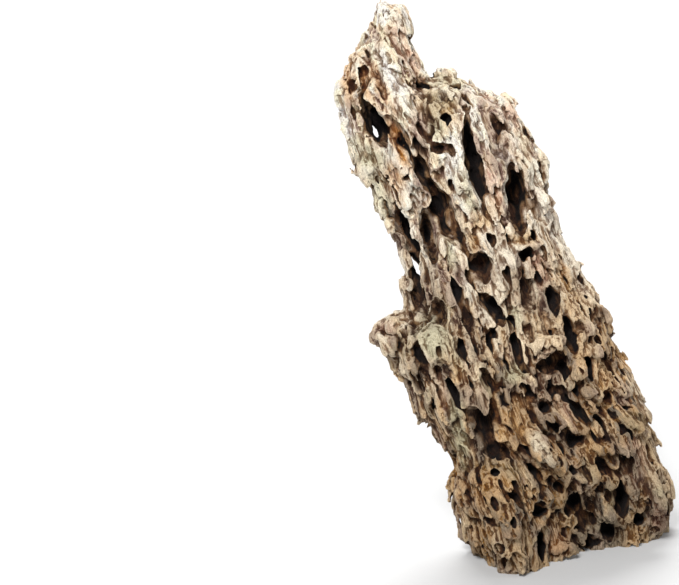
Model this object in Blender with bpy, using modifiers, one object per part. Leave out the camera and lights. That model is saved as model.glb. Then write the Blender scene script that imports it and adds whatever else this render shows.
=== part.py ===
"""Aquarium dragon stone: one tall, leaning slab of weathered clay stone that stands on a flat, broken foot.

The stone is modelled at its real size in metres, +Z up. It is drawn the way it faces the viewer: the viewer stands
in front of it (towards -Y), EYE_DISTANCE away, opposite AIM_MM, and looks down by VIEW_TILT. A place on its face is
given in millimetres across (to the right) and up, as that viewer sees it in the plane through the origin.
"""

import math
import random

import bmesh
import bpy
import numpy as np
from mathutils import Matrix, Vector
from mathutils.bvhtree import BVHTree

NAME = "dragon_stone"
MM = 0.001
HEIGHT_MM = 341.0
VIEW_TILT = math.radians(12.0)
GRAIN_LEAN = math.radians(17.0)
BLANK_VOXEL = 2.6 * MM
CUTTER_VOXEL = 1.8 * MM
SKIN_VOXEL = 2.1 * MM
TRIANGLES = 9900
FLAKE_DEPTH = 3.0 * MM
SWELL = 1.2 * MM
SEED = 41

RIGHT = Vector((1.0, 0.0, 0.0))
UPWARD = Vector((0.0, math.sin(VIEW_TILT), math.cos(VIEW_TILT)))
TO_EYE = Vector((0.0, -math.cos(VIEW_TILT), math.sin(VIEW_TILT)))
EYE_DISTANCE = 3.0
AIM_MM = (-101.0, 162.6)
EYE = RIGHT * AIM_MM[0] * MM + UPWARD * AIM_MM[1] * MM + TO_EYE * EYE_DISTANCE
GRAIN = np.array((-math.sin(GRAIN_LEAN), 0.0, math.cos(GRAIN_LEAN)))
ACROSS_GRAIN = np.array((math.cos(GRAIN_LEAN), 0.0, math.sin(GRAIN_LEAN)))

# The stone's outline as the viewer sees it, clockwise from the tip, in millimetres (across, up).
# Below the floor it runs on straight, because the foot is cut off flat there.
OUTLINE = [
    (-80, 339), (-68, 336), (-63, 338), (-60, 329), (-58, 318), (-52, 305), (-48, 296), (-36, 296), (-29, 291),
    (-20, 288), (-10, 284), (0, 286), (6, 278), (14, 262), (19, 251), (26, 241), (24, 228), (27, 216), (33, 208),
    (34, 199), (42, 187), (49, 172), (57, 158), (66, 140), (74, 121), (82, 103), (89, 86), (91, 77), (96, 63),
    (100, 50), (102, 38), (100, 21), (97, 5), (92, -90), (-14, -90), (-18, -1), (-24, 8), (-28, 24), (-33, 35),
    (-34, 49), (-30, 56), (-37, 65), (-44, 76), (-50, 84), (-55, 97), (-59, 108), (-66, 110), (-68, 121),
    (-75, 124), (-81, 136), (-78, 143), (-74, 140), (-68, 148), (-59, 149), (-60, 161), (-65, 171), (-60, 175),
    (-64, 183), (-69, 197), (-75, 205), (-80, 216), (-87, 231), (-92, 244), (-98, 262), (-103.5, 284),
    (-99, 293), (-96, 306), (-89, 313), (-86, 323), (-82, 334),
]

# The slab's body by height: (up, middle line across, middle plane's depth, half thickness, turn of the face).
# Depth is away from the viewer, level with the floor; the turn is how much it recedes to the right.
BODY = [
    (-90.0, 42.0, 56.0, 36.0, 0.50),
    (0.0, 38.0, 48.0, 38.0, 0.50),
    (50.0, 33.0, 30.0, 46.0, 0.46),
    (100.0, 13.0, 19.0, 48.0, 0.42),
    (150.0, 0.0, 14.0, 45.0, 0.36),
    (200.0, -20.0, 10.0, 42.0, 0.30),
    (250.0, -34.0, 8.0, 36.0, 0.24),
    (285.0, -52.0, 6.0, 30.0, 0.20),
    (300.0, -72.0, 5.0, 25.0, 0.16),
    (345.0, -72.0, 4.0, 15.0, 0.10),
]

# Broad swellings of the front: (across, up, radius across, radius up, lean, how far it stands out).
SWELLINGS = [
    (4, 6, 24, 40, 8, 42),
    (-20, 70, 26, 60, 18, 16),
    (-62, 290, 22, 60, 18, 8),
    (15, 80, 20, 42, 36, 7),
    (88, 55, 16, 40, 20, 10),
    (10, 235, 24, 60, 14, 9),
    (-25, 235, 12, 45, 14, 7),
    (-45, 135, 16, 22, 15, 10),
    (78, 82, 18, 12, 0, 8),
    (50, 140, 26, 24, 20, 6),
    (-70, 132, 16, 20, 0, -8),
    (55, 25, 30, 26, 10, -8),
]

# Pockets in the front: (across, up, long, wide, lean of the top to the left in degrees, depth), millimetres.
POCKETS = [
    # upper left and the spire
    (-96, 292, 26, 6, 10, 6), (-87, 294, 18, 5, 6, 6), (-77, 291, 28, 8, 24, 7), (-82, 267, 33, 10, 25, 34),
    (-64, 256, 32, 9, 25, 12), (-53, 289, 15, 4, 60, 9), (-54, 277, 16, 4, 25, 10), (-39, 281, 9, 7, 0, 5),
    (-36, 268, 9, 6, 10, 10), (-61.5, 324, 15, 4, 10, 5), (-80, 326, 13, 4, 25, 5), (-71, 307, 9, 5, 10, 4),
    # upper right
    (-19, 240, 48, 9, 12, 28), (-4, 257, 45, 13, 17, 8), (-4.5, 260, 26, 5, 10, 14), (7, 218, 42, 12, 7, 28),
    (-37, 251, 9, 10, 0, 9), (-25, 278, 14, 7, 5, 5), (17, 255, 8, 4, 20, 5),
    # middle left
    (-50, 235, 22, 8, 20, 12), (-37, 211, 42, 11, 20, 24), (-28, 198, 24, 4.5, 18, 14), (-46, 196, 32, 9, 12, 24),
    (-59, 196, 36, 8, 20, 30), (-55, 170, 16, 5, 28, 9), (-65, 202, 14, 4, 20, 5),
    # middle
    (-9.5, 195, 9, 5.5, 20, 12), (-15, 178, 22, 13, 20, 16), (12, 186, 9, 8.5, 0, 14), (29, 157, 19, 8.5, 10, 14),
    (-6, 152, 24, 8, 26, 18), (32, 185, 11, 4, 35, 6), (15, 162, 26, 12, 18, 6), (27, 174, 11, 4, 30, 5),
    # left middle and the nub
    (-52, 160, 28, 9, 18, 9), (-41, 150, 17, 10, 25, 20), (-29.5, 163, 20, 5, 20, 14), (-22.5, 144, 20, 6, 15, 9),
    (-27, 128, 18, 7, 18, 15), (-62.5, 139, 18, 7, 10, 10), (-49, 116, 38, 8, 20, 18), (-36, 117, 14, 5, 12, 6),
    (-9.5, 131, 14, 4, 15, 8), (-7, 105, 26, 6.5, 35, 16), (-31, 100, 19, 6, 22, 14),
    # right middle
    (7.5, 127, 24, 6, 12, 14), (39.5, 135, 26, 8, 18, 16), (27, 121, 18, 15, 15, 10), (36, 117, 16, 6, 10, 15),
    (51, 117, 19, 6, 12, 12), (15, 100, 22, 6, 38, 13), (24.5, 93, 9, 9, 0, 14), (47, 87, 30, 6, 38, 12),
    (63, 98, 12, 12, 30, 10), (46.5, 141, 11, 6, 30, 7), (59, 145, 6, 6, 0, 6), (68.5, 127, 9, 5, 25, 8),
    (56, 134, 9, 4, 15, 7), (36, 100, 15, 6, 30, 9),
    # lower left
    (-20, 88, 9, 10, 0, 12), (-12, 76, 32, 10, 15, 18), (-5, 66, 12, 12, 0, 14), (-4, 90, 20, 6, 22, 12),
    (-43, 90, 16, 4, 10, 7), (-5, 53, 5, 7, 0, 8), (18, 53, 25, 5, 36, 10), (20, 30, 10, 12, 0, 16),
    (22, 8, 22, 7, 5, 22), (-8.5, 23, 8, 9, -30, 9), (-12, 35, 12, 4, 18, 6), (-26, 40, 18, 4, 12, 5),
    # lower right
    (59, 55, 21, 7, 28, 14), (43.5, 33, 27, 9, 28, 16), (26, 56, 9, 5, 15, 6), (28, 78, 17, 4.5, 26, 10),
    (41, 72, 13, 8, 10, 12), (76, 55, 50, 8, 20, 10), (71, 34, 28, 8, 8, 18), (81, 25, 10, 9, 0, 12),
    (75, 92.5, 5, 11, 0, 8), (63, 17, 16, 8, 12, 14), (50, 10, 12, 14, 0, 13), (93, 18, 6, 7, 0, 6),
    (52, 64, 10, 6, 25, 6),
]

# The two places where daylight shows through: (across, up, long, wide, lean).
THROUGH_HOLES = [(-79.5, 261, 14, 7.0, 22), (-53.5, 178, 19, 7.0, 22)]

# Plates, ribs, ledges and knobs that stand out of the front: (across, up, long, wide, lean, how far it stands out).
LUMPS = [
    (-84, 243, 20, 14, 12, 5), (-63, 282, 36, 8, 10, 5), (-97, 270, 26, 8, 14, 4), (-45, 135, 24, 18, 15, 6),
    (-28, 245, 32, 8, 12, 5), (-1, 186, 20, 13, 10, 6), (12, 193, 9, 26, 5, 5), (-26, 206, 36, 8, 20, 6),
    (42, 176, 60, 8, 33, 4), (82, 104, 28, 11, 24, 5), (88, 55, 42, 15, 20, 7), (13, 80, 44, 13, 36, 8),
    (-27, 68, 30, 10, 8, 6), (78, 83, 12, 20, -8, 7), (24, 134, 9, 26, 0, 8), (54, 129, 9, 16, 0, 6),
    (7, 3, 16, 13, 0, 6), (33, 9, 15, 14, 0, 9), (77, 14, 10, 10, 0, 4), (-29, 45, 14, 9, 0, 4),
    (93, 25, 12, 10, 0, 4), (-17, 197, 34, 7, 18, 5), (-40, 175, 30, 7, 24, 5), (40, 52, 26, 10, 30, 5),
    (57, 40, 30, 9, 28, 5), (25, 112, 8, 18, 10, 5), (62, 108, 10, 14, 15, 5), (4, 108, 12, 11, 20, 5),
    (-37, 165, 30, 6, 20, 4), (-15, 120, 34, 8, 20, 5), (-57, 128, 20, 8, 15, 4), (0, 232, 44, 8, 14, 4),
    (17, 235, 40, 7, 12, 4), (-8, 40, 22, 12, 10, 5), (48, 104, 24, 9, 30, 5), (28, 66, 20, 8, 30, 5),
    (-55, 205, 30, 6, 20, 4), (-70, 262, 28, 6, 24, 4), (-45, 262, 26, 10, 18, 4), (-38, 285, 14, 18, 0, 4),
]


def clear_scene():
    for item in list(bpy.data.objects):
        bpy.data.objects.remove(item, do_unlink=True)


def new_collection(name):
    found = bpy.data.collections.new(name)
    bpy.context.scene.collection.children.link(found)
    return found


def link(collection, name, mesh):
    item = bpy.data.objects.new(name, mesh)
    collection.objects.link(item)
    return item


def baked(item):
    """A plain mesh of the object as its modifiers leave it."""
    graph = bpy.context.evaluated_depsgraph_get()
    return bpy.data.meshes.new_from_object(item.evaluated_get(graph), depsgraph=graph)


def bake(item):
    """Apply the object's modifiers to its own mesh."""
    bpy.context.view_layer.update()
    mesh = baked(item)
    old = item.data
    item.modifiers.clear()
    item.data = mesh
    bpy.data.meshes.remove(old)


def remesh(item, voxel):
    step = item.modifiers.new("voxel skin", "REMESH")
    step.mode = "VOXEL"
    step.voxel_size = voxel
    step.adaptivity = 0.0
    bake(item)


def boolean(item, other, operation):
    step = item.modifiers.new(operation.lower(), "BOOLEAN")
    step.operation = operation
    step.solver = "EXACT"
    step.object = other
    bake(item)


def points_of(mesh):
    flat = np.empty(len(mesh.vertices) * 3)
    mesh.vertices.foreach_get("co", flat)
    return flat.reshape(-1, 3)


def put_points(mesh, points):
    mesh.vertices.foreach_set("co", np.ascontiguousarray(points, dtype=np.float64).ravel())
    mesh.update()


def normals_of(mesh):
    flat = np.empty(len(mesh.vertices) * 3)
    mesh.vertex_normals.foreach_get("vector", flat)
    return flat.reshape(-1, 3)


def from_face(across, up, near):
    """Points that the viewer sees at these places, so many millimetres nearer than the plane of the picture."""
    flat = (np.outer(across, RIGHT) + np.outer(up, UPWARD)) * MM
    return flat + (np.array(EYE) - flat) * (near * MM / EYE_DISTANCE)[:, None]


def face_point(across, up):
    return (RIGHT * across + UPWARD * up) * MM


def distance_inside(across, up):
    """Millimetres from the outline to each place inside it."""
    ring = np.array(OUTLINE, dtype=float)
    start, end = ring, np.roll(ring, -1, axis=0)
    best = np.full(across.shape, 1e9)
    for (ax, ay), (bx, by) in zip(start, end):
        dx, dy = bx - ax, by - ay
        t = np.clip(((across - ax) * dx + (up - ay) * dy) / (dx * dx + dy * dy), 0.0, 1.0)
        best = np.minimum(best, np.hypot(across - ax - t * dx, up - ay - t * dy))
    return best


def leaning_oval(across, up, cx, cy, half_wide, half_long, lean):
    """Squared distance from an oval's middle, 1 on its rim; its top leans to the left."""
    a = math.radians(lean)
    along = -(across - cx) * math.sin(a) + (up - cy) * math.cos(a)
    side = (across - cx) * math.cos(a) + (up - cy) * math.sin(a)
    return (side / half_wide) ** 2 + (along / half_long) ** 2


def make_blank(collection):
    """The outline as a flat curve, thickened towards and away from the viewer, as one mesh."""
    curve = bpy.data.curves.new("outline", "CURVE")
    curve.dimensions = "2D"
    curve.fill_mode = "BOTH"
    curve.extrude = 40 * MM
    spline = curve.splines.new("POLY")
    spline.points.add(len(OUTLINE) - 1)
    for point, (across, up) in zip(spline.points, OUTLINE):
        point.co = (across * MM, up * MM, 0.0, 1.0)
    spline.use_cyclic_u = True
    guide = bpy.data.objects.new("outline", curve)
    collection.objects.link(guide)
    frame = Matrix((RIGHT, UPWARD, TO_EYE)).transposed().to_4x4()
    guide.matrix_world = frame
    bpy.context.view_layer.update()
    mesh = baked(guide)
    mesh.transform(frame)
    body = bmesh.new()
    body.from_mesh(mesh)
    bmesh.ops.remove_doubles(body, verts=body.verts, dist=0.00001)
    bmesh.ops.recalc_face_normals(body, faces=body.faces)
    body.to_mesh(mesh)
    body.free()
    bpy.data.objects.remove(guide, do_unlink=True)
    bpy.data.curves.remove(curve)
    return link(collection, NAME, mesh)


def swell(item):
    """Round the flat slab into the stone's body: thick in the middle, thin at its rim, turned and swollen."""
    mesh = item.data
    points = points_of(mesh)
    across, up, near = (points @ np.array(axis) / MM for axis in (RIGHT, UPWARD, TO_EYE))
    table = np.array(BODY)
    middle, depth, half, turn = (np.interp(up, table[:, 0], table[:, k]) for k in (1, 2, 3, 4))
    inside = distance_inside(across, up)
    reach = np.clip(inside / (half * 1.05), 0.0, 1.0)
    fullness = (1.0 - (1.0 - reach) ** 2.4) ** 0.62
    level = depth + turn * (across - middle)
    plane = -(level - up * math.sin(VIEW_TILT)) / math.cos(VIEW_TILT)
    side = np.clip(near / 40.0, -1.0, 1.0)
    thick = half * fullness * side
    front = np.clip(side, 0.0, 1.0) ** 1.5 * np.clip(inside / 14.0, 0.0, 1.0)
    for cx, cy, rx, ry, lean, out in SWELLINGS:
        oval = leaning_oval(across, up, cx, cy, rx, ry, lean)
        thick = thick + front * out * np.exp(-oval)
    put_points(mesh, from_face(across, up, plane + thick))


def tree_of(item):
    body = bmesh.new()
    body.from_mesh(item.data)
    tree = BVHTree.FromBMesh(body)
    body.free()
    return tree


def skin_point(tree, across, up):
    """Where the viewer's line of sight meets the stone."""
    hit, normal, _, _ = tree.ray_cast(EYE, (face_point(across, up) - EYE).normalized())
    return hit, normal


def flow_frame(lean, inward):
    """Axes for a pocket: side, inwards, and along the flow of the stone, whose top leans to the left."""
    a = math.radians(lean)
    along = (UPWARD * math.cos(a) - RIGHT * math.sin(a)).normalized()
    inward = (inward - along * inward.dot(along)).normalized()
    side = inward.cross(along)
    return side, inward, along


def ball_mesh(segments, rings):
    body = bmesh.new()
    bmesh.ops.create_uvsphere(body, u_segments=segments, v_segments=rings, radius=1.0)
    mesh = bpy.data.meshes.new("ball")
    body.to_mesh(mesh)
    body.free()
    return mesh


def add_ball(body, ball, centre, axes, radii):
    """Add a copy of the ball, stretched along its own axes and set in its place."""
    frame = Matrix(axes).transposed().to_4x4()
    shaped = ball.copy()
    shaped.transform(Matrix.Translation(centre) @ frame @ Matrix.Diagonal((*radii, 1.0)))
    body.from_mesh(shaped)
    bpy.data.meshes.remove(shaped)


def lean_at(across, up):
    """How far the stone's grain leans to the left, in degrees: steeper low down on the right."""
    low = math.exp(-(((across - 35) / 60) ** 2) - ((up - 70) / 60) ** 2)
    return 17.0 + 17.0 * low


def add_pocket(body, ball, centre, axes, long, wide, depth):
    """A pocket is deepest under its upper end, like a fingertip pushed up under an eave."""
    side, inner, along = axes
    axis = (along + inner * 0.18).normalized()
    inner = (inner - axis * inner.dot(axis)).normalized()
    axes = (side, inner, axis)
    add_ball(body, ball, centre, axes, (wide * 0.6 * MM, max(depth, wide * 0.7) * MM * 0.85, long * 0.54 * MM))
    head = centre + along * (long * 0.22 * MM) + inner * (depth * 0.35 * MM)
    size = min(wide * 0.6, long * 0.42)
    add_ball(body, ball, head, axes, (size * MM, max(depth * 0.75, size) * MM, long * 0.32 * MM))


def add_scattered_pockets(body, ball, item, taken):
    """More pockets, spread evenly by a seeded draw: large ones on the sides and back, small ones in front."""
    rng = random.Random(SEED)
    mesh = item.data
    for _ in range(9000):
        face = mesh.polygons[rng.randrange(len(mesh.polygons))]
        centre = face.center
        normal = face.normal
        in_front = normal.dot(TO_EYE) > 0.35
        if in_front:
            long, wide, depth = rng.uniform(12, 26), rng.uniform(4.5, 7.0), rng.uniform(4, 9)
        else:
            long, wide, depth = rng.uniform(13, 34), rng.uniform(6, 11), rng.uniform(6, 18)
        if centre.z < 0.003:
            continue
        room = (0.27 * long + 0.40 * wide) * MM
        if any((centre - other).length < room + gap for other, gap in taken):
            continue
        across, up = centre.dot(RIGHT) / MM, centre.dot(UPWARD) / MM
        a = math.radians(lean_at(across, up) + rng.uniform(-8, 8))
        along = Vector((-math.sin(a), 0.0, math.cos(a)))
        if abs(normal.dot(along)) > 0.88:
            continue
        taken.append((centre.copy(), room))
        inner = (-normal + along * normal.dot(along)).normalized()
        depth = min(depth, 7.0) if centre.z > 0.27 else depth
        add_pocket(body, ball, centre, (inner.cross(along), inner, along), long, wide * 0.9, depth)


def make_cutter(collection, item):
    tree = tree_of(item)
    ball = ball_mesh(14, 9)
    long_ball = ball_mesh(16, 24)
    body = bmesh.new()
    taken = []
    for across, up, long, wide, lean, depth in POCKETS:
        hit, normal = skin_point(tree, across, up)
        if hit is None:
            continue
        inward = (-TO_EYE * 0.75 - normal * 0.25).normalized()
        axes = flow_frame(lean, inward)
        add_pocket(body, ball, hit, axes, long, wide, depth)
        for step in (-0.33, 0.0, 0.33):
            taken.append((hit + axes[2] * (long * step * MM), (wide * 0.5 + 2.5) * MM))
    for across, up, long, wide, lean in THROUGH_HOLES:
        hit, normal = skin_point(tree, across, up)
        if hit is None:
            continue
        side, inner, along = flow_frame(lean, face_point(across, up) - EYE)
        add_ball(body, long_ball, hit + inner * 0.03, (side, inner, along), (wide * 0.5 * MM, 0.11, long * 0.5 * MM))
    add_scattered_pockets(body, ball, item, taken)
    mesh = bpy.data.meshes.new("pockets")
    body.to_mesh(mesh)
    body.free()
    cutter = link(collection, "pockets", mesh)
    remesh(cutter, CUTTER_VOXEL)
    cutter.hide_render = True
    cutter.display_type = "WIRE"
    return cutter


def add_lumps(collection, item):
    """Plates and ledges, thickest at their lower end, where they break off as an eave."""
    tree = tree_of(item)
    ball = ball_mesh(14, 9)
    body = bmesh.new()
    body.from_mesh(item.data)
    for across, up, long, wide, lean, out in LUMPS:
        a = math.radians(lean)
        hit, normal = skin_point(tree, across + math.sin(a) * long * 0.12, up - math.cos(a) * long * 0.12)
        if hit is None:
            continue
        side, inner, along = flow_frame(lean, (-TO_EYE * 0.6 - normal * 0.4).normalized())
        axis = (along + inner * 0.16).normalized()
        inner = (inner - axis * inner.dot(axis)).normalized()
        radii = (wide * 0.55 * MM, (out + 5.0) * MM, long * 0.55 * MM)
        add_ball(body, ball, hit + inner * (4.0 * MM), (side, inner, axis), radii)
    body.to_mesh(item.data)
    body.free()
    remesh(item, BLANK_VOXEL)


def face_coordinates(points):
    """Millimetres across and up, as the viewer sees these points in the plane of the picture."""
    share = (points @ np.array(TO_EYE) / EYE_DISTANCE)[:, None]
    flat = (points - share * np.array(EYE)) / (1.0 - share)
    return flat @ np.array(RIGHT) / MM, flat @ np.array(UPWARD) / MM


def draw(cell, salt):
    """A repeatable number from 0 to 1 for each whole-numbered cell."""
    mixed = (cell[:, 0] * 73856093) ^ (cell[:, 1] * 19349663) ^ (cell[:, 2] * 83492791) ^ (salt * 40503)
    mixed = ((mixed & 0xFFFFFFFF) ^ ((mixed & 0xFFFFFFFF) >> 13)) * 1274126177 & 0xFFFFFFFF
    mixed = (mixed ^ (mixed >> 15)) * 668265263 & 0xFFFFFFFF
    return ((mixed ^ (mixed >> 16)) & 0xFFFFFF) / 0x1000000


def drift(points, salt):
    """Smooth noise from -1 to 1 over unit cubes."""
    base = np.floor(points).astype(np.int64)
    t = points - base
    t = t * t * (3.0 - 2.0 * t)
    total = np.zeros(len(points))
    for step in np.ndindex(2, 2, 2):
        weight = np.ones(len(points))
        for axis in range(3):
            weight = weight * (t[:, axis] if step[axis] else 1.0 - t[:, axis])
        total += weight * draw(base + np.array(step), salt)
    return total * 2.0 - 1.0


def grain_space(points, stretch, wander, salt):
    """Points turned and pressed so that an even pattern comes out long and lies along the stone's grain."""
    centre = np.array((0.035, 0.0, 0.07))
    away = points - centre
    turn = GRAIN_LEAN * np.exp(-(away[:, 0] ** 2 + away[:, 2] ** 2) / 0.06 ** 2)
    x = away[:, 0] * np.cos(turn) + away[:, 2] * np.sin(turn)
    z = -away[:, 0] * np.sin(turn) + away[:, 2] * np.cos(turn)
    bent = np.stack((x, away[:, 1], z), axis=1) + centre
    bent = bent + wander * np.stack([drift(bent / 0.022, salt + k) for k in (11, 12, 13)], axis=1)
    return bent - np.outer(bent @ GRAIN, GRAIN) * (1.0 - 1.0 / stretch)


def flakes(points, salt):
    """Each point's flake: two numbers of its own, the way from its middle, and the distance from its edge."""
    base = np.floor(points).astype(np.int64)
    first = np.full(len(points), 9.0)
    second = first.copy()
    own = np.zeros((len(points), 2))
    away = np.zeros((len(points), 3))
    for step in np.ndindex(3, 3, 3):
        cell = base + np.array(step) - 1
        gap_way = points - cell - np.stack([draw(cell, salt + k) for k in range(3)], axis=1)
        gap = np.sqrt((gap_way ** 2).sum(axis=1))
        second = np.minimum(second, np.maximum(first, gap))
        closer = gap < first
        first[closer] = gap[closer]
        away[closer] = gap_way[closer]
        own[closer, 0] = draw(cell[closer], salt + 3)
        own[closer, 1] = draw(cell[closer], salt + 4)
    return own, away, second - first


def shingle(points, salt, step_up, tilt, crease):
    """Height of overlapping flakes: each thickens towards its lower end and breaks off there, with a crack round it."""
    own, away, edge = flakes(points, salt)
    height = step_up * (own[:, 0] - 0.5) - tilt * (away @ GRAIN)
    height = height + (own[:, 1] - 0.5) * 1.2 * tilt * (away @ ACROSS_GRAIN)
    crack = 1.0 - np.clip(edge / 0.16, 0.0, 1.0)
    return height - crease * crack, np.clip(-(away @ GRAIN), 0.0, 0.6)


def roughen(item):
    """Flakes along the grain over the whole skin: long splinters high up, shorter shingles low down on the right."""
    mesh = item.data
    points = points_of(mesh)
    across, up = face_coordinates(points)
    low = np.exp(-((across - 40) / 60) ** 2 - ((up - 75) / 75) ** 2)
    tall, tall_hang = shingle(grain_space(points, 4.6, 0.005, 5) / (8.5 * MM), 21, 1.1, 0.9, 0.35)
    short, short_hang = shingle(grain_space(points, 2.3, 0.005, 8) / (10.0 * MM), 61, 1.1, 1.7, 0.3)
    main = tall * (1.0 - low) + short * low
    height = drift(points / (30.0 * MM), 3) * SWELL + main * FLAKE_DEPTH
    hang = (tall_hang * (1.0 - low) + short_hang * low) * FLAKE_DEPTH
    put_points(mesh, points + normals_of(mesh) * height[:, None] - hang[:, None] * GRAIN)


def keep_largest(item):
    """Drop crumbs and closed bubbles, so that one closed body is left."""
    body = bmesh.new()
    body.from_mesh(item.data)
    body.verts.ensure_lookup_table()
    seen = set()
    groups = []
    for vert in body.verts:
        if vert.index in seen:
            continue
        group = [vert]
        seen.add(vert.index)
        for member in group:
            for edge in member.link_edges:
                other = edge.other_vert(member)
                if other.index not in seen:
                    seen.add(other.index)
                    group.append(other)
        groups.append(group)
    groups.sort(key=len, reverse=True)
    loose = [vert for group in groups[1:] for vert in group]
    bmesh.ops.delete(body, geom=loose, context="VERTS")
    body.to_mesh(item.data)
    body.free()


def thin_out(item, triangles):
    body = bmesh.new()
    body.from_mesh(item.data)
    bmesh.ops.triangulate(body, faces=body.faces)
    body.to_mesh(item.data)
    body.free()
    step = item.modifiers.new("thin out", "DECIMATE")
    step.decimate_type = "COLLAPSE"
    step.ratio = min(1.0, triangles / len(item.data.polygons))
    step.use_collapse_triangulate = True
    bake(item)


def cut_foot(collection, item, level):
    """The foot is cut off flat, so that the stone stands."""
    body = bmesh.new()
    bmesh.ops.create_cube(body, size=1.0, matrix=Matrix.Translation((0, 0, level - 0.5)))
    mesh = bpy.data.meshes.new("floor_cut")
    body.to_mesh(mesh)
    body.free()
    cutter = link(collection, "floor_cut", mesh)
    cutter.hide_render = True
    cutter.display_type = "WIRE"
    boolean(item, cutter, "DIFFERENCE")


def to_origin(item):
    """The middle of the bounding box stands over the origin, the foot on z = 0, and the tip at its height."""
    points = points_of(item.data)
    enlarged = HEIGHT_MM * MM / np.ptp(points[:, 2])
    points *= enlarged
    low, high = points.min(axis=0), points.max(axis=0)
    points -= np.array(((low[0] + high[0]) / 2, (low[1] + high[1]) / 2, low[2]))
    put_points(item.data, points)
    print("enlarged", enlarged, "shift mm", (low[0] + high[0]) / 2 / MM, (low[1] + high[1]) / 2 / MM, low[2] / MM)
    print("size mm", (high - low) / MM, "triangles", len(item.data.polygons))


def stone_material():
    material = bpy.data.materials.new("weathered clay stone")
    material.use_nodes = True
    shader = material.node_tree.nodes["Principled BSDF"]
    shader.inputs["Base Color"].default_value = (0.46, 0.33, 0.21, 1.0)
    shader.inputs["Roughness"].default_value = 0.85
    shader.inputs["Metallic"].default_value = 0.0
    return material


def main():
    clear_scene()
    parts = new_collection("aquarium_dragon_stone")
    cutters = new_collection("cutters")
    stone = make_blank(parts)
    remesh(stone, BLANK_VOXEL)
    swell(stone)
    remesh(stone, BLANK_VOXEL)
    add_lumps(parts, stone)
    cutter = make_cutter(cutters, stone)
    boolean(stone, cutter, "DIFFERENCE")
    remesh(stone, SKIN_VOXEL)
    roughen(stone)
    remesh(stone, SKIN_VOXEL)
    cut_foot(cutters, stone, -2.0 * MM)
    keep_largest(stone)
    thin_out(stone, TRIANGLES)
    cut_foot(cutters, stone, 0.0)
    keep_largest(stone)
    to_origin(stone)
    stone.data.materials.append(stone_material())
    stone.data.shade_smooth()
    stone.data.set_sharp_from_angle(angle=math.radians(35))


main()
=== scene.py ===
"""Aquarium dragon stone: a tall, leaning slab of weathered clay stone, for the shelf of reusable parts.

The stone is made in steps, each a button in the sidebar: a rough block from its outline, plates and ledges
on its face, flakes split from its skin, pockets cut into it, weathering, and its finish. A place on its face
is given in millimetres across and up, as the viewer sees it who stands in front (towards -Y), EYE_DISTANCE
away, and looks down by VIEW_TILT.
"""

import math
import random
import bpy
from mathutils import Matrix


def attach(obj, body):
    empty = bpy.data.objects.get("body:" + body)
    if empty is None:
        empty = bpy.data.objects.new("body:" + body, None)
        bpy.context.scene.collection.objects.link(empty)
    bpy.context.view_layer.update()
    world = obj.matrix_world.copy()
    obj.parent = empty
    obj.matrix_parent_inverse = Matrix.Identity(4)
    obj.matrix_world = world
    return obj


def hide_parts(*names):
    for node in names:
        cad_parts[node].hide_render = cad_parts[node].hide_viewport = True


bl_info = {
    "name": "Aquarium Dragon Stone",
    "version": (1, 0, 0),
    "blender": (4, 5, 0),
    "location": "View3D > Sidebar > Dragon Stone",
    "description": "Builds one weathered clay stone for an aquarium, and its plain stage",
    "category": "Add Mesh",
}

import bpy
import numpy as np
from mathutils import Matrix, Vector
from mathutils.bvhtree import BVHTree

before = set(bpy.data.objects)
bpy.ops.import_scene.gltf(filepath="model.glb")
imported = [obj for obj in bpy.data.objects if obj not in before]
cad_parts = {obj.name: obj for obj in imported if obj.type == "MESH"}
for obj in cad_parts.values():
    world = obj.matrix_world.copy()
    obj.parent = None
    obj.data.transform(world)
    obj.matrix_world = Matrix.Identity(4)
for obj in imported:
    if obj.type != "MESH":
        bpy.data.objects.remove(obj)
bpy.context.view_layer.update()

MM = 0.001
STONE = "stone_surface"
VIEW_TILT = math.radians(12.0)
EYE_DISTANCE = 3.0
AIM_MM = (-101.0, 162.6)
PICTURE_WIDTH = 679
MM_PER_PIXEL = 0.61
STAND_MM = (2.03, 16.38)
SEED = 41
SLAB_HALF = 0.04

RIGHT = Vector((1.0, 0.0, 0.0))
UPWARD = Vector((0.0, math.sin(VIEW_TILT), math.cos(VIEW_TILT)))
TO_EYE = Vector((0.0, -math.cos(VIEW_TILT), math.sin(VIEW_TILT)))
EYE = RIGHT * AIM_MM[0] * MM + UPWARD * AIM_MM[1] * MM + TO_EYE * EYE_DISTANCE
GRAIN_LEAN = math.radians(17.0)
GRAIN = np.array((-math.sin(GRAIN_LEAN), 0.0, math.cos(GRAIN_LEAN)))
ACROSS_GRAIN = np.array((math.cos(GRAIN_LEAN), 0.0, math.sin(GRAIN_LEAN)))

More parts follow.
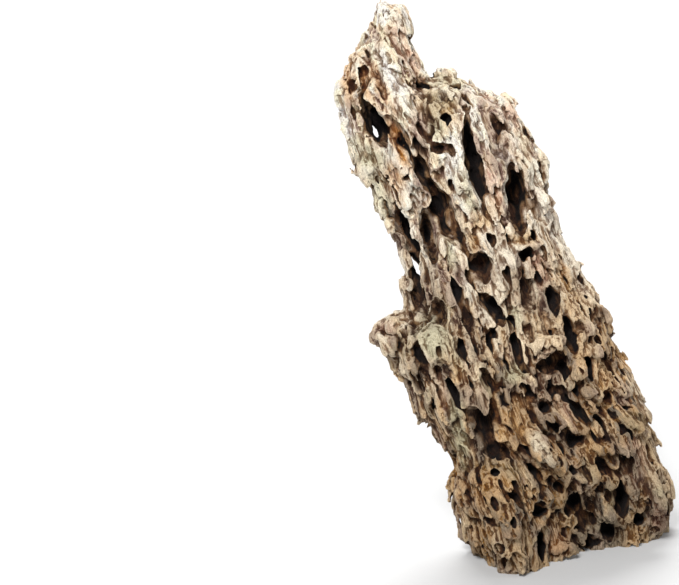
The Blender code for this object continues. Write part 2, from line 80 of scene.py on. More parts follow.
# The outline as the viewer sees it, clockwise from the tip, in millimetres (across, up). Below the floor it
# runs on straight, because the foot is cut off flat there.
OUTLINE = [
    (-80, 341), (-75, 339), (-68, 338), (-63, 340), (-60, 334), (-59, 330), (-57, 326), (-58, 318),
    (-55, 311), (-52, 305), (-50, 300), (-48, 296), (-40, 296), (-36, 296), (-33, 293), (-29, 291),
    (-25, 291), (-20, 288), (-16, 285), (-10, 284), (-5, 283), (0, 286), (4, 283), (6, 278), (9, 272),
    (11, 267), (14, 262), (17, 257), (19, 251), (24, 246), (26, 241), (25, 235), (24, 228), (25, 221),
    (27, 216), (31, 213), (33, 208), (32, 203), (34, 199), (37, 193), (42, 187), (46, 180), (49, 172),
    (53, 165), (57, 158), (61, 152), (63, 147), (66, 140), (69, 133), (71, 127), (74, 121), (76, 117),
    (79, 110), (82, 103), (85, 96), (88, 89), (89, 85), (88, 82), (91, 77), (94, 70), (96, 63), (98, 57),
    (100, 50), (102, 44), (102, 38), (101, 34), (102, 30), (100, 26), (100, 21), (97, 5), (92, -90),
    (-14, -90), (-18, -1), (-22, 2), (-24, 8), (-26, 15), (-27, 20), (-28, 24), (-31, 28), (-33, 35),
    (-32, 38), (-34, 44), (-34, 49), (-32, 53), (-30, 56), (-33, 61), (-37, 65), (-41, 71), (-44, 76),
    (-47, 80), (-50, 84), (-53, 90), (-55, 97), (-57, 103), (-59, 108), (-62, 110), (-66, 110),
    (-68, 112), (-67, 116), (-69, 118), (-68, 121), (-72, 123), (-75, 124), (-77, 130), (-81, 135),
    (-81, 139), (-78, 143), (-74, 140), (-71, 146), (-68, 148), (-63, 148), (-59, 149), (-59, 156),
    (-60, 161), (-63, 165), (-65, 171), (-62, 171), (-60, 175), (-63, 180), (-64, 183), (-66, 190),
    (-69, 197), (-72, 203), (-75, 205), (-78, 211), (-80, 216), (-81, 223), (-84, 228), (-87, 231),
    (-89, 238), (-92, 244), (-94, 250), (-96, 256), (-98, 262), (-100, 270), (-102, 275), (-103.5, 284),
    (-102, 292), (-99, 293), (-99, 300), (-96, 306), (-92, 311), (-89, 313), (-88, 318), (-86, 323),
    (-83, 327), (-82, 334),
]

# The body by height in millimetres: (up, middle line across, middle plane's depth, half thickness, slope of
# the face as it turns to the right).
BODY = [
    (-90.0, 42.0, 56.0, 36.0, 0.50),
    (0.0, 38.0, 48.0, 38.0, 0.50),
    (50.0, 33.0, 30.0, 46.0, 0.46),
    (100.0, 13.0, 19.0, 48.0, 0.42),
    (150.0, 0.0, 14.0, 45.0, 0.36),
    (200.0, -20.0, 10.0, 42.0, 0.30),
    (250.0, -34.0, 8.0, 36.0, 0.24),
    (285.0, -52.0, 6.0, 30.0, 0.20),
    (300.0, -72.0, 5.0, 25.0, 0.16),
    (345.0, -72.0, 4.0, 15.0, 0.10),
]

# Broad swellings of the front: (across, up, radius across, radius up, lean, how far it stands out).
SWELLINGS = [
    (4, 6, 24, 40, 8, 42),
    (-20, 70, 26, 60, 18, 16),
    (-62, 290, 22, 60, 18, 8),
    (15, 80, 20, 42, 36, 7),
    (88, 55, 16, 40, 20, 10),
    (10, 235, 24, 60, 14, 9),
    (-25, 235, 12, 45, 14, 7),
    (-45, 135, 16, 22, 15, 10),
    (78, 82, 18, 12, 0, 8),
    (50, 140, 26, 24, 20, 6),
    (-70, 132, 16, 20, 0, -8),
    (55, 25, 30, 26, 10, -8),
]

# Pockets in the front, in millimetres and degrees: (across, up, long, wide, lean to the left, depth).
POCKETS = [
    # the spire and the upper left
    (-94, 291, 24, 5, 10, 2.5), (-86, 294, 18, 5, 6, 5), (-77, 291, 28, 7, 24, 5),
    (-81, 267, 33, 10, 25, 36), (-64, 256, 32, 9, 25, 10), (-60, 251, 22, 2.5, 25, 16),
    (-53, 290, 14, 2.5, 65, 10), (-54, 277, 15, 3, 25, 10), (-47, 281, 6, 2.5, 20, 6),
    (-39, 282, 8, 7, 0, 3), (-36, 268, 9, 6, 10, 10), (-61.5, 324, 14, 4, 10, 3),
    (-80, 327, 12, 2.5, 25, 3), (-71.5, 307, 8, 4, 10, 3), (-62, 302, 6, 3, 20, 3),
    (-84, 308, 6, 2, 15, 3), (-73, 318, 16, 2.5, 12, 3), (-66, 331, 12, 2.5, 5, 3),
    (-74, 332, 10, 2.5, 8, 3),
    # the upper right
    (-19, 240, 48, 9, 12, 30), (-3, 256, 45, 14, 18, 5), (-4.5, 260, 26, 5, 10, 14),
    (7, 218, 42, 12, 7, 30), (-39, 251, 8, 9, 0, 10), (-33, 250, 9, 3, 0, 8), (-25, 278, 14, 7, 5, 4),
    (-22, 268, 5, 4, 0, 3), (17, 255, 6, 2.5, 20, 5), (-8, 240.5, 7, 1.5, 45, 3), (-1, 275, 5, 1.5, 5, 3),
    (-10, 223, 12, 2, 5, 4), (12, 262, 18, 2.5, 14, 3), (21, 240, 20, 2.5, 12, 3),
    (-13, 268, 18, 2.5, 12, 3), (16, 215, 26, 2.5, 14, 4),
    # the middle left
    (-50, 235, 22, 8, 20, 12), (-37, 211, 42, 11, 20, 25), (-28, 198, 24, 4, 18, 15),
    (-46, 196, 32, 9, 12, 25), (-59, 196, 36, 8, 20, 36), (-70, 213, 20, 1.5, 18, 4),
    (-44, 232, 6, 2, 10, 3), (-55.5, 226, 3, 3, 0, 4), (-72, 233, 3, 3, 0, 3), (-65, 200, 12, 3, 20, 5),
    (-55, 170, 16, 4, 30, 8), (-32, 224, 18, 3, 16, 6), (-66, 222, 16, 3, 18, 4),
    (-78, 232, 14, 2, 18, 3), (-60, 232, 12, 4, 15, 4),
    # the middle
    (-9.5, 195, 9, 5, 20, 12), (-15, 178, 22, 13, 20, 16), (12, 186, 9, 8, 0, 14),
    (11.5, 176, 5, 4, 0, 6), (29, 157, 19, 8, 10, 14), (-6, 152, 24, 7, 26, 18),
    (33.5, 184, 9, 1.5, 35, 5), (23.5, 186, 14, 3, 22, 6), (15, 160, 26, 12, 18, 5),
    (48.5, 160, 4, 2, 45, 3), (27, 175, 10, 2, 30, 4), (2, 172, 22, 3.5, 18, 7), (-22, 172, 20, 3, 20, 6),
    (20, 170, 20, 3, 20, 6), (38, 168, 18, 3, 28, 5), (45, 172, 16, 2.5, 32, 4), (-1, 204, 12, 3, 15, 5),
    (17, 198, 8, 4, 20, 6),
    # the left edge and its nub
    (-52, 160, 30, 9, 18, 8), (-41, 150, 16, 10, 25, 20), (-29.5, 163, 20, 5, 20, 14),
    (-22.5, 145, 20, 5, 15, 8), (-27, 128, 17, 6, 18, 15), (-61, 139, 14, 5, 10, 7),
    (-60, 126, 9, 3.5, 20, 5), (-49, 116, 38, 7, 20, 20), (-36, 117, 14, 4.5, 12, 5),
    (-9.5, 131, 14, 3.5, 15, 8), (-7, 138, 7, 3, 30, 8), (-22, 118, 6, 4, 10, 5),
    (-7, 105, 26, 5.5, 35, 16), (-31, 100, 19, 5.5, 22, 14), (-16, 160, 16, 3, 22, 7),
    (-58, 104, 16, 3, 18, 4), (-40, 100, 18, 3, 20, 6), (-20, 106, 20, 3.5, 24, 7),
    (-14, 142, 14, 3, 22, 6),
    # the right of the middle
    (7.5, 127, 24, 5, 12, 14), (39.5, 135, 26, 7, 18, 16), (27, 121, 18, 16, 15, 9),
    (36, 117, 16, 6, 10, 16), (51, 117, 19, 5, 12, 12), (15, 100, 22, 5, 38, 14), (24.5, 93, 8, 8, 0, 14),
    (27, 104, 16, 4, 10, 10), (47, 87, 30, 5, 38, 12), (63, 98, 12, 12, 30, 10),
    (46.5, 141, 10, 5, 30, 6), (59, 145.5, 5, 5, 0, 5), (65.5, 127, 8, 4, 25, 6), (72, 114, 7, 2, 30, 4),
    (27.5, 137.5, 6, 2, 5, 6), (14, 139, 12, 6, 25, 6), (56.5, 134, 8, 3, 15, 7), (17, 124, 14, 3, 20, 6),
    (62, 113, 8, 6, 0, 5), (35, 100, 14, 5, 30, 8), (0, 120, 16, 3, 26, 7), (4, 145, 14, 3, 22, 6),
    (47, 152, 14, 3, 26, 5), (57, 102, 12, 3, 34, 6),
    # the lower left
    (-20, 88, 8, 10, 0, 12), (-12, 76, 32, 10, 15, 18), (-5, 66, 12, 12, 0, 14), (-4, 88, 20, 5, 22, 12),
    (-43, 90, 16, 2.5, 10, 8), (-5, 53, 3.5, 6, 0, 8), (18, 53, 24, 4, 36, 10), (20, 30, 9, 11, 0, 16),
    (22, 9, 22, 6, 5, 22), (-8.5, 23, 7, 9, -30, 9), (-12, 35, 11, 2.5, 18, 6), (1.5, 37, 6, 3, 0, 6),
    (-26.5, 40, 20, 2, 12, 6), (-20.5, 22, 12, 2, 5, 6), (-13, 7.5, 4, 4, 30, 4), (-3.5, 6, 6, 4, 30, 6),
    (4, 78, 10, 2, 45, 4), (12, 44, 8, 2, 30, 4), (-17, 55, 16, 3, 10, 5), (4, 60, 14, 3, 30, 6),
    (-24, 60, 18, 2.5, 12, 4), (5, 22, 10, 4, 12, 6), (-2, 44, 10, 3, 15, 5),
    # the lower right
    (59, 55, 20, 6, 28, 14), (43.5, 33.5, 27, 8, 28, 16), (41, 54, 5, 7, 0, 10), (26, 56, 7, 4, 15, 6),
    (28, 78, 16, 3.5, 26, 10), (39.5, 73, 12, 6, 5, 12), (45, 72, 12, 5, 35, 5), (75, 54, 52, 11, 20, 8),
    (71, 35, 28, 7, 8, 18), (81, 25, 10, 9, 0, 12), (71.5, 79, 6, 6, -30, 8), (75, 92.5, 3, 11, 0, 8),
    (83.5, 58, 2.5, 2.5, 0, 5), (96, 63, 6, 2, 20, 3), (63, 17, 16, 7, 12, 14), (50, 10, 8, 14, 0, 12),
    (37.5, 29, 8, 3, 30, 10), (93, 18, 3, 6, 0, 5), (52, 92, 14, 5, 30, 5), (57, 44, 8, 4, 0, 5),
    (63, 38, 14, 8, 5, 3), (63, 63, 4, 6, 0, 8), (33, 44, 18, 3, 32, 7), (50, 50, 18, 3, 30, 7),
    (35, 66, 16, 3, 34, 7), (88, 35, 14, 3, 12, 4), (55, 75, 20, 3, 36, 7), (66, 88, 14, 3, 30, 6),
]

# The two places where daylight shows through: (across, up, long, wide, lean). The middle of each cutter lies
# behind the face, and it reaches far enough both ways, in metres.
THROUGH_HOLES = [(-79.5, 261, 14, 6.0, 22), (-53.5, 178, 19, 6.5, 22)]
HOLE_MIDDLE = 0.03
HOLE_REACH = 0.11

# Plates, ribs, ledges and knobs: (across, up, long, wide, lean, how far it stands out, smoothness).
PLATES = [
    (-84, 243, 20, 14, 12, 5, 1.0), (-63, 282, 36, 8, 10, 5, 0.7), (-97, 270, 26, 8, 14, 4, 0.6),
    (-45, 135, 24, 18, 15, 6, 1.0), (-28, 245, 32, 8, 12, 5, 0.6), (-1, 186, 20, 13, 10, 6, 0.7),
    (12, 193, 9, 26, 5, 5, 0.2), (-26, 206, 36, 8, 20, 6, 0.4), (42, 176, 60, 8, 33, 4, 0.7),
    (82, 104, 28, 11, 24, 5, 1.0), (88, 55, 42, 15, 20, 7, 0.9), (13, 80, 44, 13, 36, 8, 0.7),
    (-27, 68, 30, 10, 8, 6, 0.6), (78, 83, 12, 20, -8, 7, 0.6), (24, 134, 9, 26, 0, 8, 0.2),
    (54, 129, 9, 16, 0, 6, 0.2), (7, 3, 16, 13, 0, 6, 0.6), (33, 9, 15, 14, 0, 9, 0.4),
    (77, 14, 10, 10, 0, 4, 0.3), (-29, 45, 14, 9, 0, 4, 0.3), (93, 25, 12, 10, 0, 4, 0.3),
    (-17, 197, 34, 7, 18, 5, 0.4), (-40, 175, 30, 7, 24, 5, 0.3), (40, 52, 26, 10, 30, 5, 0.3),
    (57, 40, 30, 9, 28, 5, 0.3), (25, 112, 8, 18, 10, 5, 0.3), (62, 108, 10, 14, 15, 5, 0.3),
    (4, 108, 12, 11, 20, 5, 0.4), (-37, 165, 30, 6, 20, 4, 0.2), (-15, 120, 34, 8, 20, 5, 0.3),
    (-57, 128, 20, 8, 15, 4, 0.3), (0, 232, 44, 8, 14, 4, 0.5), (17, 235, 40, 7, 12, 4, 0.6),
    (-8, 40, 22, 12, 10, 5, 0.4), (48, 104, 24, 9, 30, 5, 0.2), (28, 66, 20, 8, 30, 5, 0.3),
    (-55, 205, 30, 6, 20, 4, 0.2), (-70, 262, 28, 6, 24, 4, 0.4), (-45, 262, 26, 10, 18, 4, 0.4),
    (-38, 285, 14, 18, 0, 4, 0.2), (3, 112, 14, 8, 10, 5, 0.5), (13, 112, 11, 5, 5, 5, 0.4),
    (24, 103, 13, 6, 15, 5, 0.2), (42, 121, 14, 7, 20, 5, 0.3), (68, 105, 9, 8, 20, 5, 0.2),
    (55, 69, 8, 12, 0, 6, 0.5), (64.5, 71, 12, 6, 10, 6, 0.4), (-10, 126, 22, 7, 20, 5, 0.4),
    (-37, 114, 16, 5, 10, 4, 0.3), (-21.5, 163, 15, 5, 2, 4, 0.8), (-31, 186, 20, 6, 8, 4, 0.7),
    (-57, 222, 14, 11, 20, 5, 0.6), (29, 197, 44, 7, 27, 3, 0.9), (24, 50, 26, 5, 24, 4, 0.4),
    (50, 56, 14, 13, 20, 4, 0.4), (-20, 262, 26, 5, 14, 4, 0.7), (5, 255, 26, 7, 16, 4, 0.7),
    (-75, 296, 34, 7, 26, 3, 0.8), (-69, 248, 22, 4, 30, 4, 0.8), (-23, 222, 30, 6, 22, 4, 0.6),
]

# The clay's colours, from washed out to dark.
COLOURS = {
    "pale": "#EAE6DC", "cream": "#E4D0B2", "tan": "#C8A472", "rose": "#D0A48E", "rust": "#C57E62",
    "gold": "#BA8B42", "ochre": "#B87C2E", "sage": "#B9BAA0", "olive": "#84744C", "mauve": "#937870",
    "brown": "#74553D", "umber": "#49342A",
}
# Clay near the top, clay low down and its greyer parts, each from its dark flakes to its pale ones.
HIGH_CLAY = ("mauve", "cream", "pale")
LOW_CLAY = ("umber", "gold", "tan")
GREY_CLAY = ("brown", "mauve", "cream")
# How light the clay is by height in millimetres, less so to the right: partly its paler clay high up, and
# partly painted light, the top painted brighter and the low right painted darker, as the light falls from
# above.
CLAY_PALENESS_AND_PAINTED_LIGHT = [(0, 0.54), (60, 0.80), (150, 0.98), (220, 1.27), (300, 1.42)]
# What low clay is tinted with, what soil does to the clay in its streaks, cracks and dust, and the painted
# shade laid over its creases and over the places that the stone shelters.
LOW_TINT = "#FFF3DF"
SOIL_AND_SHADE = {
    "stain": "#897361", "crack": "#59483C", "hollow": "#A28973", "shade": "#9B8169", "dust": "#D4D0CB",
}

# Overlapping flakes along the grain: (times longer than wide, how far the grain wanders in metres, draw of
# that wander, width in millimetres, draw of the flakes, step between two, tilt of each, crease between them).
SHINGLES = {
    "splinters": (4.6, 0.005, 5, 8.5, 21, 1.8, 1.1, 0.15),
    "low shingles": (2.6, 0.005, 8, 12.0, 61, 1.9, 2.3, 0.2),
    "chips": (3.8, 0.002, 7, 4.2, 31, 1.3, 1.2, 0.1),
    "streaks": (4.6, 0.001, 9, 2.4, 41, 1.0, 0.8, 0.1),
    "plate edges": (3.0, 0.003, 29, 6.0, 73, 1.4, 1.2, 0.1),
    "pocket walls": (3.0, 0.003, 27, 5.0, 71, 1.6, -1.2, -0.1),
}
# The balls behind plates and pockets: (segments, rings, boxiness, upper end drawn in, lower end drawn in).
PLATE_BALL = (8, 8, 4.0, 0.6, 0.15)
POCKET_BALL = (6, 10, 2.0, 0.35, 0.45)

# Pockets that are spread by a seeded draw keep off the rim, the foot's front, the tip and the thin nub.
SCATTER_TRIES = 14000
RIM_MM = 8.0
FOOT_FRONT = 0.045
TIP_START = 0.322
NUB = (-68.0, 130.0, 14.0, 22.0)

# The clay's patterns: (name, width across the grain in millimetres, detail, roughness). Grit has no grain.
PATTERNS = [
    ("band", 8.333, 3.0, 0.6),
    ("streak", 2.174, 5.0, 0.7),
    ("fibre", 0.6667, 3.0, 0.65),
    ("crack", 3.333, 3.0, 0.55),
    ("grit", 0.6667, 3.0, 0.7),
]
# Shares taken from a pattern or from a number kept on the skin: (name, source, low, high, at low, at high).
SHARES = [
    ("dark band", "band", 0.42, 0.58, 0.88, 0.0),
    ("dark streak", "streak", 0.40, 0.53, 0.8, 0.0),
    ("pale streak", "streak", 0.52, 0.61, 0.0, 1.0),
    ("fibre", "fibre", 0.30, 0.62, 0.45, 0.0),
    ("crack", "crack", 0.004, 0.02, 0.75, 0.0),
    ("cracked band", "band", 0.5, 0.58, 0.0, 1.0),
    ("edge", "wear", 0.12, 0.75, 0.0, 1.0),
    ("edge fibre", "fibre", 0.30, 0.55, 0.35, 0.9),
    # Painted shade: the creases are darkened where the surface curves in.
    ("hollow", "wear", -0.15, -0.9, 0.0, 0.75),
    # Painted shade: shade and deep darken the places that the stone shelters, the most sheltered nearly
    # black.
    ("shade", "shelter", 0.25, 0.55, 0.0, 1.0),
    ("deep", "shelter", 0.58, 0.82, 0.0, 1.0),
    ("dust", "grit", 0.30, 0.66, 1.0, 0.0),
    ("roughness", "streak", 0.2, 0.8, 0.78, 0.95),
]
BUMP_HEIGHT = 2.2 * MM
SHELTER_WAYS = 22
SHELTER_REACH = 18.0 * MM
SMOOTH_ANGLE = math.radians(32.0)

# The lamps: (name, which way they stand from the stone, power, apparent width in degrees).
LAMPS = [
    ("key_light", (-0.25, -1.0, 0.75), 4.8, 14.0),
    ("back_light", (-0.1, 0.7, 1.0), 4.0, 40.0),
    ("right_light", (1.0, -0.35, 0.5), 0.7, 50.0),
]
WORLD_LIGHT = 0.46
FLOOR_SIZE = 12.0

# Stained patches of the front: (across, up, long, wide, lean, colour, share).
PATCHES = [
    # the spire and the upper left
    (-96, 293, 24, 9, 8, "ochre", 0.75), (-86, 291, 22, 6, 8, "ochre", 0.85),
    (-77, 290, 24, 7, 24, "ochre", 0.6), (-65, 254, 36, 8, 25, "ochre", 1.0),
    (-74, 315, 22, 9, 15, "cream", 0.5), (-93, 307, 12, 7, 0, "gold", 0.5),
    (-71, 297, 38, 10, 25, "pale", 0.9), (-97, 264, 28, 8, 15, "pale", 0.8),
    (-69, 247, 22, 6, 30, "pale", 0.9), (-64, 320, 34, 10, 15, "rose", 0.4),
    (-57, 304, 18, 7, 28, "rose", 0.7), (-49, 292, 5, 5, 0, "rust", 0.6),
    (-67, 277, 8, 6, 20, "mauve", 0.5), (-60, 278, 20, 8, 20, "pale", 0.6),
    (-83, 243, 20, 16, 12, "sage", 0.9), (-91, 254, 9, 8, 0, "sage", 0.6),
    (-83, 236, 8, 14, 0, "pale", 0.6), (-73, 240, 12, 6, 20, "olive", 0.4),
    (-88, 316, 16, 4, 0, "sage", 0.6),
    # the crumbly shoulder
    (-40, 293, 10, 18, 0, "sage", 0.6), (-40, 276, 24, 24, 10, "olive", 0.75),
    (-42, 262, 12, 12, 0, "sage", 0.8), (-29, 289, 9, 8, 0, "sage", 0.7),
    (-24, 281, 12, 8, 0, "mauve", 0.7), (-52, 262, 18, 12, 10, "mauve", 0.6),
    (-52, 250, 12, 8, 10, "umber", 0.6), (-34, 270, 14, 8, 10, "gold", 0.4),
    (-56, 286, 8, 8, 0, "rose", 0.4),
    # the upper right
    (-18, 270, 28, 6, 14, "pale", 0.9), (-12, 281, 6, 6, 0, "rust", 0.3),
    (4, 270, 18, 9, 20, "rose", 0.8), (6, 256, 26, 6, 16, "pale", 0.8),
    (-3, 258, 44, 11, 15, "mauve", 0.7), (-4, 243, 26, 12, 15, "umber", 0.4),
    (-28, 250, 30, 8, 12, "pale", 0.7), (15, 238, 44, 9, 14, "cream", 0.6),
    (-7, 228, 30, 9, 10, "rose", 0.6), (20, 225, 30, 8, 12, "pale", 0.7),
    (-7, 214, 14, 9, 10, "gold", 0.4),
    # the middle left
    (-76, 221, 30, 10, 18, "sage", 0.8), (-66, 230, 26, 11, 15, "ochre", 0.55),
    (-57, 222, 16, 10, 20, "pale", 0.8), (-22, 222, 28, 6, 22, "sage", 0.7),
    (-27, 205, 34, 6, 20, "cream", 0.7), (-19, 193, 14, 8, 15, "gold", 0.7),
    (-33, 186, 22, 6, 8, "sage", 0.7), (-27, 172, 14, 8, 20, "mauve", 0.6),
    (-21.5, 163, 15, 6, 0, "pale", 0.9), (-42, 166, 34, 9, 20, "brown", 0.8),
    (-52, 160, 30, 12, 18, "umber", 0.7), (-60, 190, 44, 9, 18, "brown", 0.6),
    (-48, 200, 30, 8, 14, "umber", 0.5), (-36, 152, 18, 6, 20, "olive", 0.5),
    # the middle
    (-14, 206, 12, 12, 0, "gold", 0.7), (8, 195, 8, 26, 5, "gold", 0.7),
    (0, 186, 22, 13, 12, "pale", 0.8), (-13, 174, 16, 12, 20, "mauve", 0.8),
    (12, 163, 30, 15, 18, "brown", 0.8), (20, 178, 24, 9, 28, "rose", 0.6),
    (36, 172, 18, 12, 30, "gold", 0.5), (35, 192, 56, 8, 28, "pale", 0.9),
    (-12, 149, 18, 7, 35, "pale", 0.6), (4, 146, 14, 10, 10, "sage", 0.8),
    (25, 140, 12, 24, 0, "cream", 0.7), (49, 152, 22, 9, 30, "cream", 0.7),
    (28, 157, 20, 10, 10, "umber", 0.8), (50, 139, 10, 8, 10, "mauve", 0.5),
    (41, 160, 20, 6, 30, "gold", 0.4),
    # the nub and the left edge
    (-45, 135, 26, 20, 15, "sage", 0.95), (-62, 130, 16, 10, 10, "olive", 0.6),
    (-73, 141, 12, 8, 20, "rose", 0.4), (-20, 138, 44, 10, 22, "brown", 0.75),
    (-30, 126, 24, 8, 18, "sage", 0.5), (-52, 110, 30, 7, 20, "umber", 0.6),
    (-9, 122, 14, 7, 15, "cream", 0.8), (-27, 112, 16, 8, 15, "gold", 0.4),
    (-12, 108, 20, 5, 18, "sage", 0.6), (-46, 95, 20, 5, 12, "olive", 0.5),
    (-5, 132, 20, 6, 22, "pale", 0.5),
    # the lower left
    (-36, 96, 20, 8, 15, "rose", 0.4), (-28, 78, 42, 9, 10, "sage", 0.95),
    (-14, 78, 34, 12, 15, "umber", 0.9), (6, 113, 12, 13, 10, "sage", 0.85),
    (12, 84, 26, 13, 36, "tan", 0.8), (23, 68, 24, 9, 32, "pale", 0.95), (1, 84, 28, 7, 34, "gold", 0.6),
    (-10, 57, 6, 30, 0, "olive", 0.6), (-8, 60, 20, 26, 0, "umber", 0.35),
    (14, 60, 40, 8, 30, "brown", 0.8), (24, 49, 24, 5, 25, "gold", 0.8), (5, 50, 18, 6, 20, "olive", 0.6),
    # the foot
    (-14, 42, 26, 20, 12, "gold", 0.8), (-28, 42, 26, 6, 8, "gold", 0.9), (-4, 30, 14, 16, 0, "tan", 0.5),
    (-16, 12, 26, 12, 25, "gold", 0.7), (7, 2, 18, 15, 0, "tan", 0.95), (33, 9, 15, 15, 0, "ochre", 0.9),
    (10, 22, 16, 12, 0, "brown", 0.5), (2, 14, 10, 12, 0, "ochre", 0.3),
    # the right of the middle and the lower right
    (25, 121, 18, 10, 10, "mauve", 0.7), (50, 131, 12, 12, 0, "cream", 0.5),
    (63, 108, 14, 16, 25, "tan", 0.6), (82, 103, 26, 11, 26, "pale", 0.8),
    (92, 54, 44, 13, 22, "cream", 0.7), (82, 66, 20, 7, 25, "rose", 0.5), (94, 40, 8, 7, 0, "sage", 0.5),
    (78, 84, 14, 18, -8, "olive", 0.7), (62, 80, 16, 7, 25, "cream", 0.7),
    (55, 68, 10, 11, 0, "tan", 0.7), (42, 102, 18, 26, 25, "umber", 0.6),
    (52, 94, 26, 9, 32, "brown", 0.5), (35, 92, 22, 9, 30, "rose", 0.4), (33, 64, 16, 12, 30, "tan", 0.5),
    (52, 54, 14, 12, 20, "olive", 0.6), (66, 38, 18, 12, 5, "olive", 0.8),
    (74, 50, 46, 9, 22, "brown", 0.8), (50, 38, 24, 10, 28, "brown", 0.6),
    (56, 22, 10, 22, 0, "olive", 0.6), (80, 14, 10, 12, 0, "gold", 0.7),
    (94, 24, 12, 12, 0, "rust", 0.45), (66, 16, 22, 14, 10, "umber", 0.7),
    (45, 12, 16, 12, 0, "umber", 0.8),
]


def linear(hex_colour):
    """An sRGB hex colour as the linear values that shaders use."""
    parts = [int(hex_colour[k:k + 2], 16) / 255.0 for k in (1, 3, 5)]
    return tuple(p / 12.92 if p <= 0.04045 else ((p + 0.055) / 1.055) ** 2.4 for p in parts) + (1.0,)


class StoneSettings(bpy.types.PropertyGroup):
    block_voxel: bpy.props.FloatProperty(
        name="Block detail", description="Edge length of the rough block's faces",
        default=1.4 * MM, min=1.0 * MM, max=6.0 * MM, subtype="DISTANCE", unit="LENGTH", precision=4)
    skin_voxel: bpy.props.FloatProperty(
        name="Skin detail", description="Edge length of the weathered skin's faces",
        default=1.1 * MM, min=0.8 * MM, max=5.0 * MM, subtype="DISTANCE", unit="LENGTH", precision=4)
    faces: bpy.props.IntProperty(
        name="Triangles", description="How many triangles the finished stone keeps",
        default=194000, min=5000, max=199000)
    hidden_faces: bpy.props.IntProperty(
        name="Triangles behind", description="How many of them go to the sides that the viewer doesn't see",
        default=85000, min=2000, max=150000)
    flake_depth: bpy.props.FloatProperty(
        name="Flake depth", description="Height of the steps between the main flakes",
        default=3.4 * MM, min=0.0, max=8.0 * MM, subtype="DISTANCE", unit="LENGTH", precision=4)
    fret_depth: bpy.props.FloatProperty(
        name="Fret depth", description="Height of the steps between the small chips",
        default=1.1 * MM, min=0.0, max=4.0 * MM, subtype="DISTANCE", unit="LENGTH", precision=4)
    streak_depth: bpy.props.FloatProperty(
        name="Streak depth", description="How deep the fine streaks along the grain are",
        default=0.5 * MM, min=0.0, max=2.0 * MM, subtype="DISTANCE", unit="LENGTH", precision=4)
    crust: bpy.props.FloatVectorProperty(
        name="Crust", description="Washed-out clay on worn edges", size=4,
        default=linear("#F2E3C6"), min=0.0, max=1.0, subtype="COLOR")
    # Painted shade: the near-black colour laid where the stone shelters itself most, deep in pockets and
    # under overhangs.
    painted_shade: bpy.props.FloatVectorProperty(
        name="Painted_shade", description="Dark silt where the stone shelters itself", size=4,
        default=linear("#17100E"), min=0.0, max=1.0, subtype="COLOR")
    paper: bpy.props.FloatVectorProperty(
        name="Paper", description="The floor the stone stands on", size=4,
        default=linear("#B2B2B2"), min=0.0, max=1.0, subtype="COLOR")


def settings():
    return bpy.context.scene.dragon_stone


def deselect():
    bpy.ops.object.select_all(action="DESELECT")


def only(item):
    """Select one object alone and make it the active one."""
    deselect()
    item.select_set(True)
    bpy.context.view_layer.objects.active = item


def added(name):
    """The object that an operator has just added, under its own name."""
    item = bpy.context.active_object
    item.name = name
    item.data.name = name
    return item


def apply_modifier(item, kind, **values):
    only(item)
    bpy.ops.object.modifier_add(type=kind)
    step = item.modifiers[-1]
    for key, value in values.items():
        setattr(step, key, value)
    bpy.ops.object.modifier_apply(modifier=step.name)


def remesh(item, voxel):
    apply_modifier(item, "REMESH", mode="VOXEL", voxel_size=voxel, adaptivity=0.0)


def points_of(item):
    flat = np.empty(len(item.data.vertices) * 3)
    item.data.vertices.foreach_get("co", flat)
    return flat.reshape(-1, 3)


def put_points(item, points):
    item.data.vertices.foreach_set("co", np.ascontiguousarray(points, dtype=np.float64).ravel())
    item.data.update()


def normals_of(item):
    flat = np.empty(len(item.data.vertices) * 3)
    item.data.vertex_normals.foreach_get("vector", flat)
    return flat.reshape(-1, 3)


def edges_of(item):
    flat = np.empty(len(item.data.edges) * 2, dtype=np.int64)
    item.data.edges.foreach_get("vertices", flat)
    return flat.reshape(-1, 2)


def picture_point(across, up):
    """A place in the picture's plane, which faces the viewer and goes through the stone's foot."""
    return RIGHT * across * MM + UPWARD * up * MM


def seen_points(across, up, near):
    """The points seen at places in the picture, so many millimetres nearer than the picture's plane."""
    flat = (np.outer(across, RIGHT) + np.outer(up, UPWARD)) * MM
    return flat + (np.array(EYE) - flat) * (near * MM / EYE_DISTANCE)[:, None]


def seen_from_front(points):
    """Millimetres across and up in the picture, and towards the viewer, for points of the stone."""
    near = points @ np.array(TO_EYE)
    share = (near / EYE_DISTANCE)[:, None]
    flat = (points - share * np.array(EYE)) / (1.0 - share)
    return flat @ np.array(RIGHT) / MM, flat @ np.array(UPWARD) / MM, near / MM


def blend(low, high, value):
    """0 below low, 1 above high and a smooth rise between."""
    t = np.clip((value - low) / (high - low), 0.0, 1.0)
    return t * t * (3.0 - 2.0 * t)


def oval(across, up, cx, cy, half_wide, half_long, lean):
    """Squared distance from a leaning oval's middle: 1 on its rim. Its top leans to the left."""
    a = math.radians(lean)
    along = -(across - cx) * math.sin(a) + (up - cy) * math.cos(a)
    side = (across - cx) * math.cos(a) + (up - cy) * math.sin(a)
    return (side / half_wide) ** 2 + (along / half_long) ** 2


def distance_inside(across, up):
    """Millimetres from the outline to each place inside it."""
    ring = np.array(OUTLINE, dtype=float)
    best = np.full(across.shape, 1e9)
    for (ax, ay), (bx, by) in zip(ring, np.roll(ring, -1, axis=0)):
        dx, dy = bx - ax, by - ay
        t = np.clip(((across - ax) * dx + (up - ay) * dy) / (dx * dx + dy * dy), 0.0, 1.0)
        best = np.minimum(best, np.hypot(across - ax - t * dx, up - ay - t * dy))
    return best


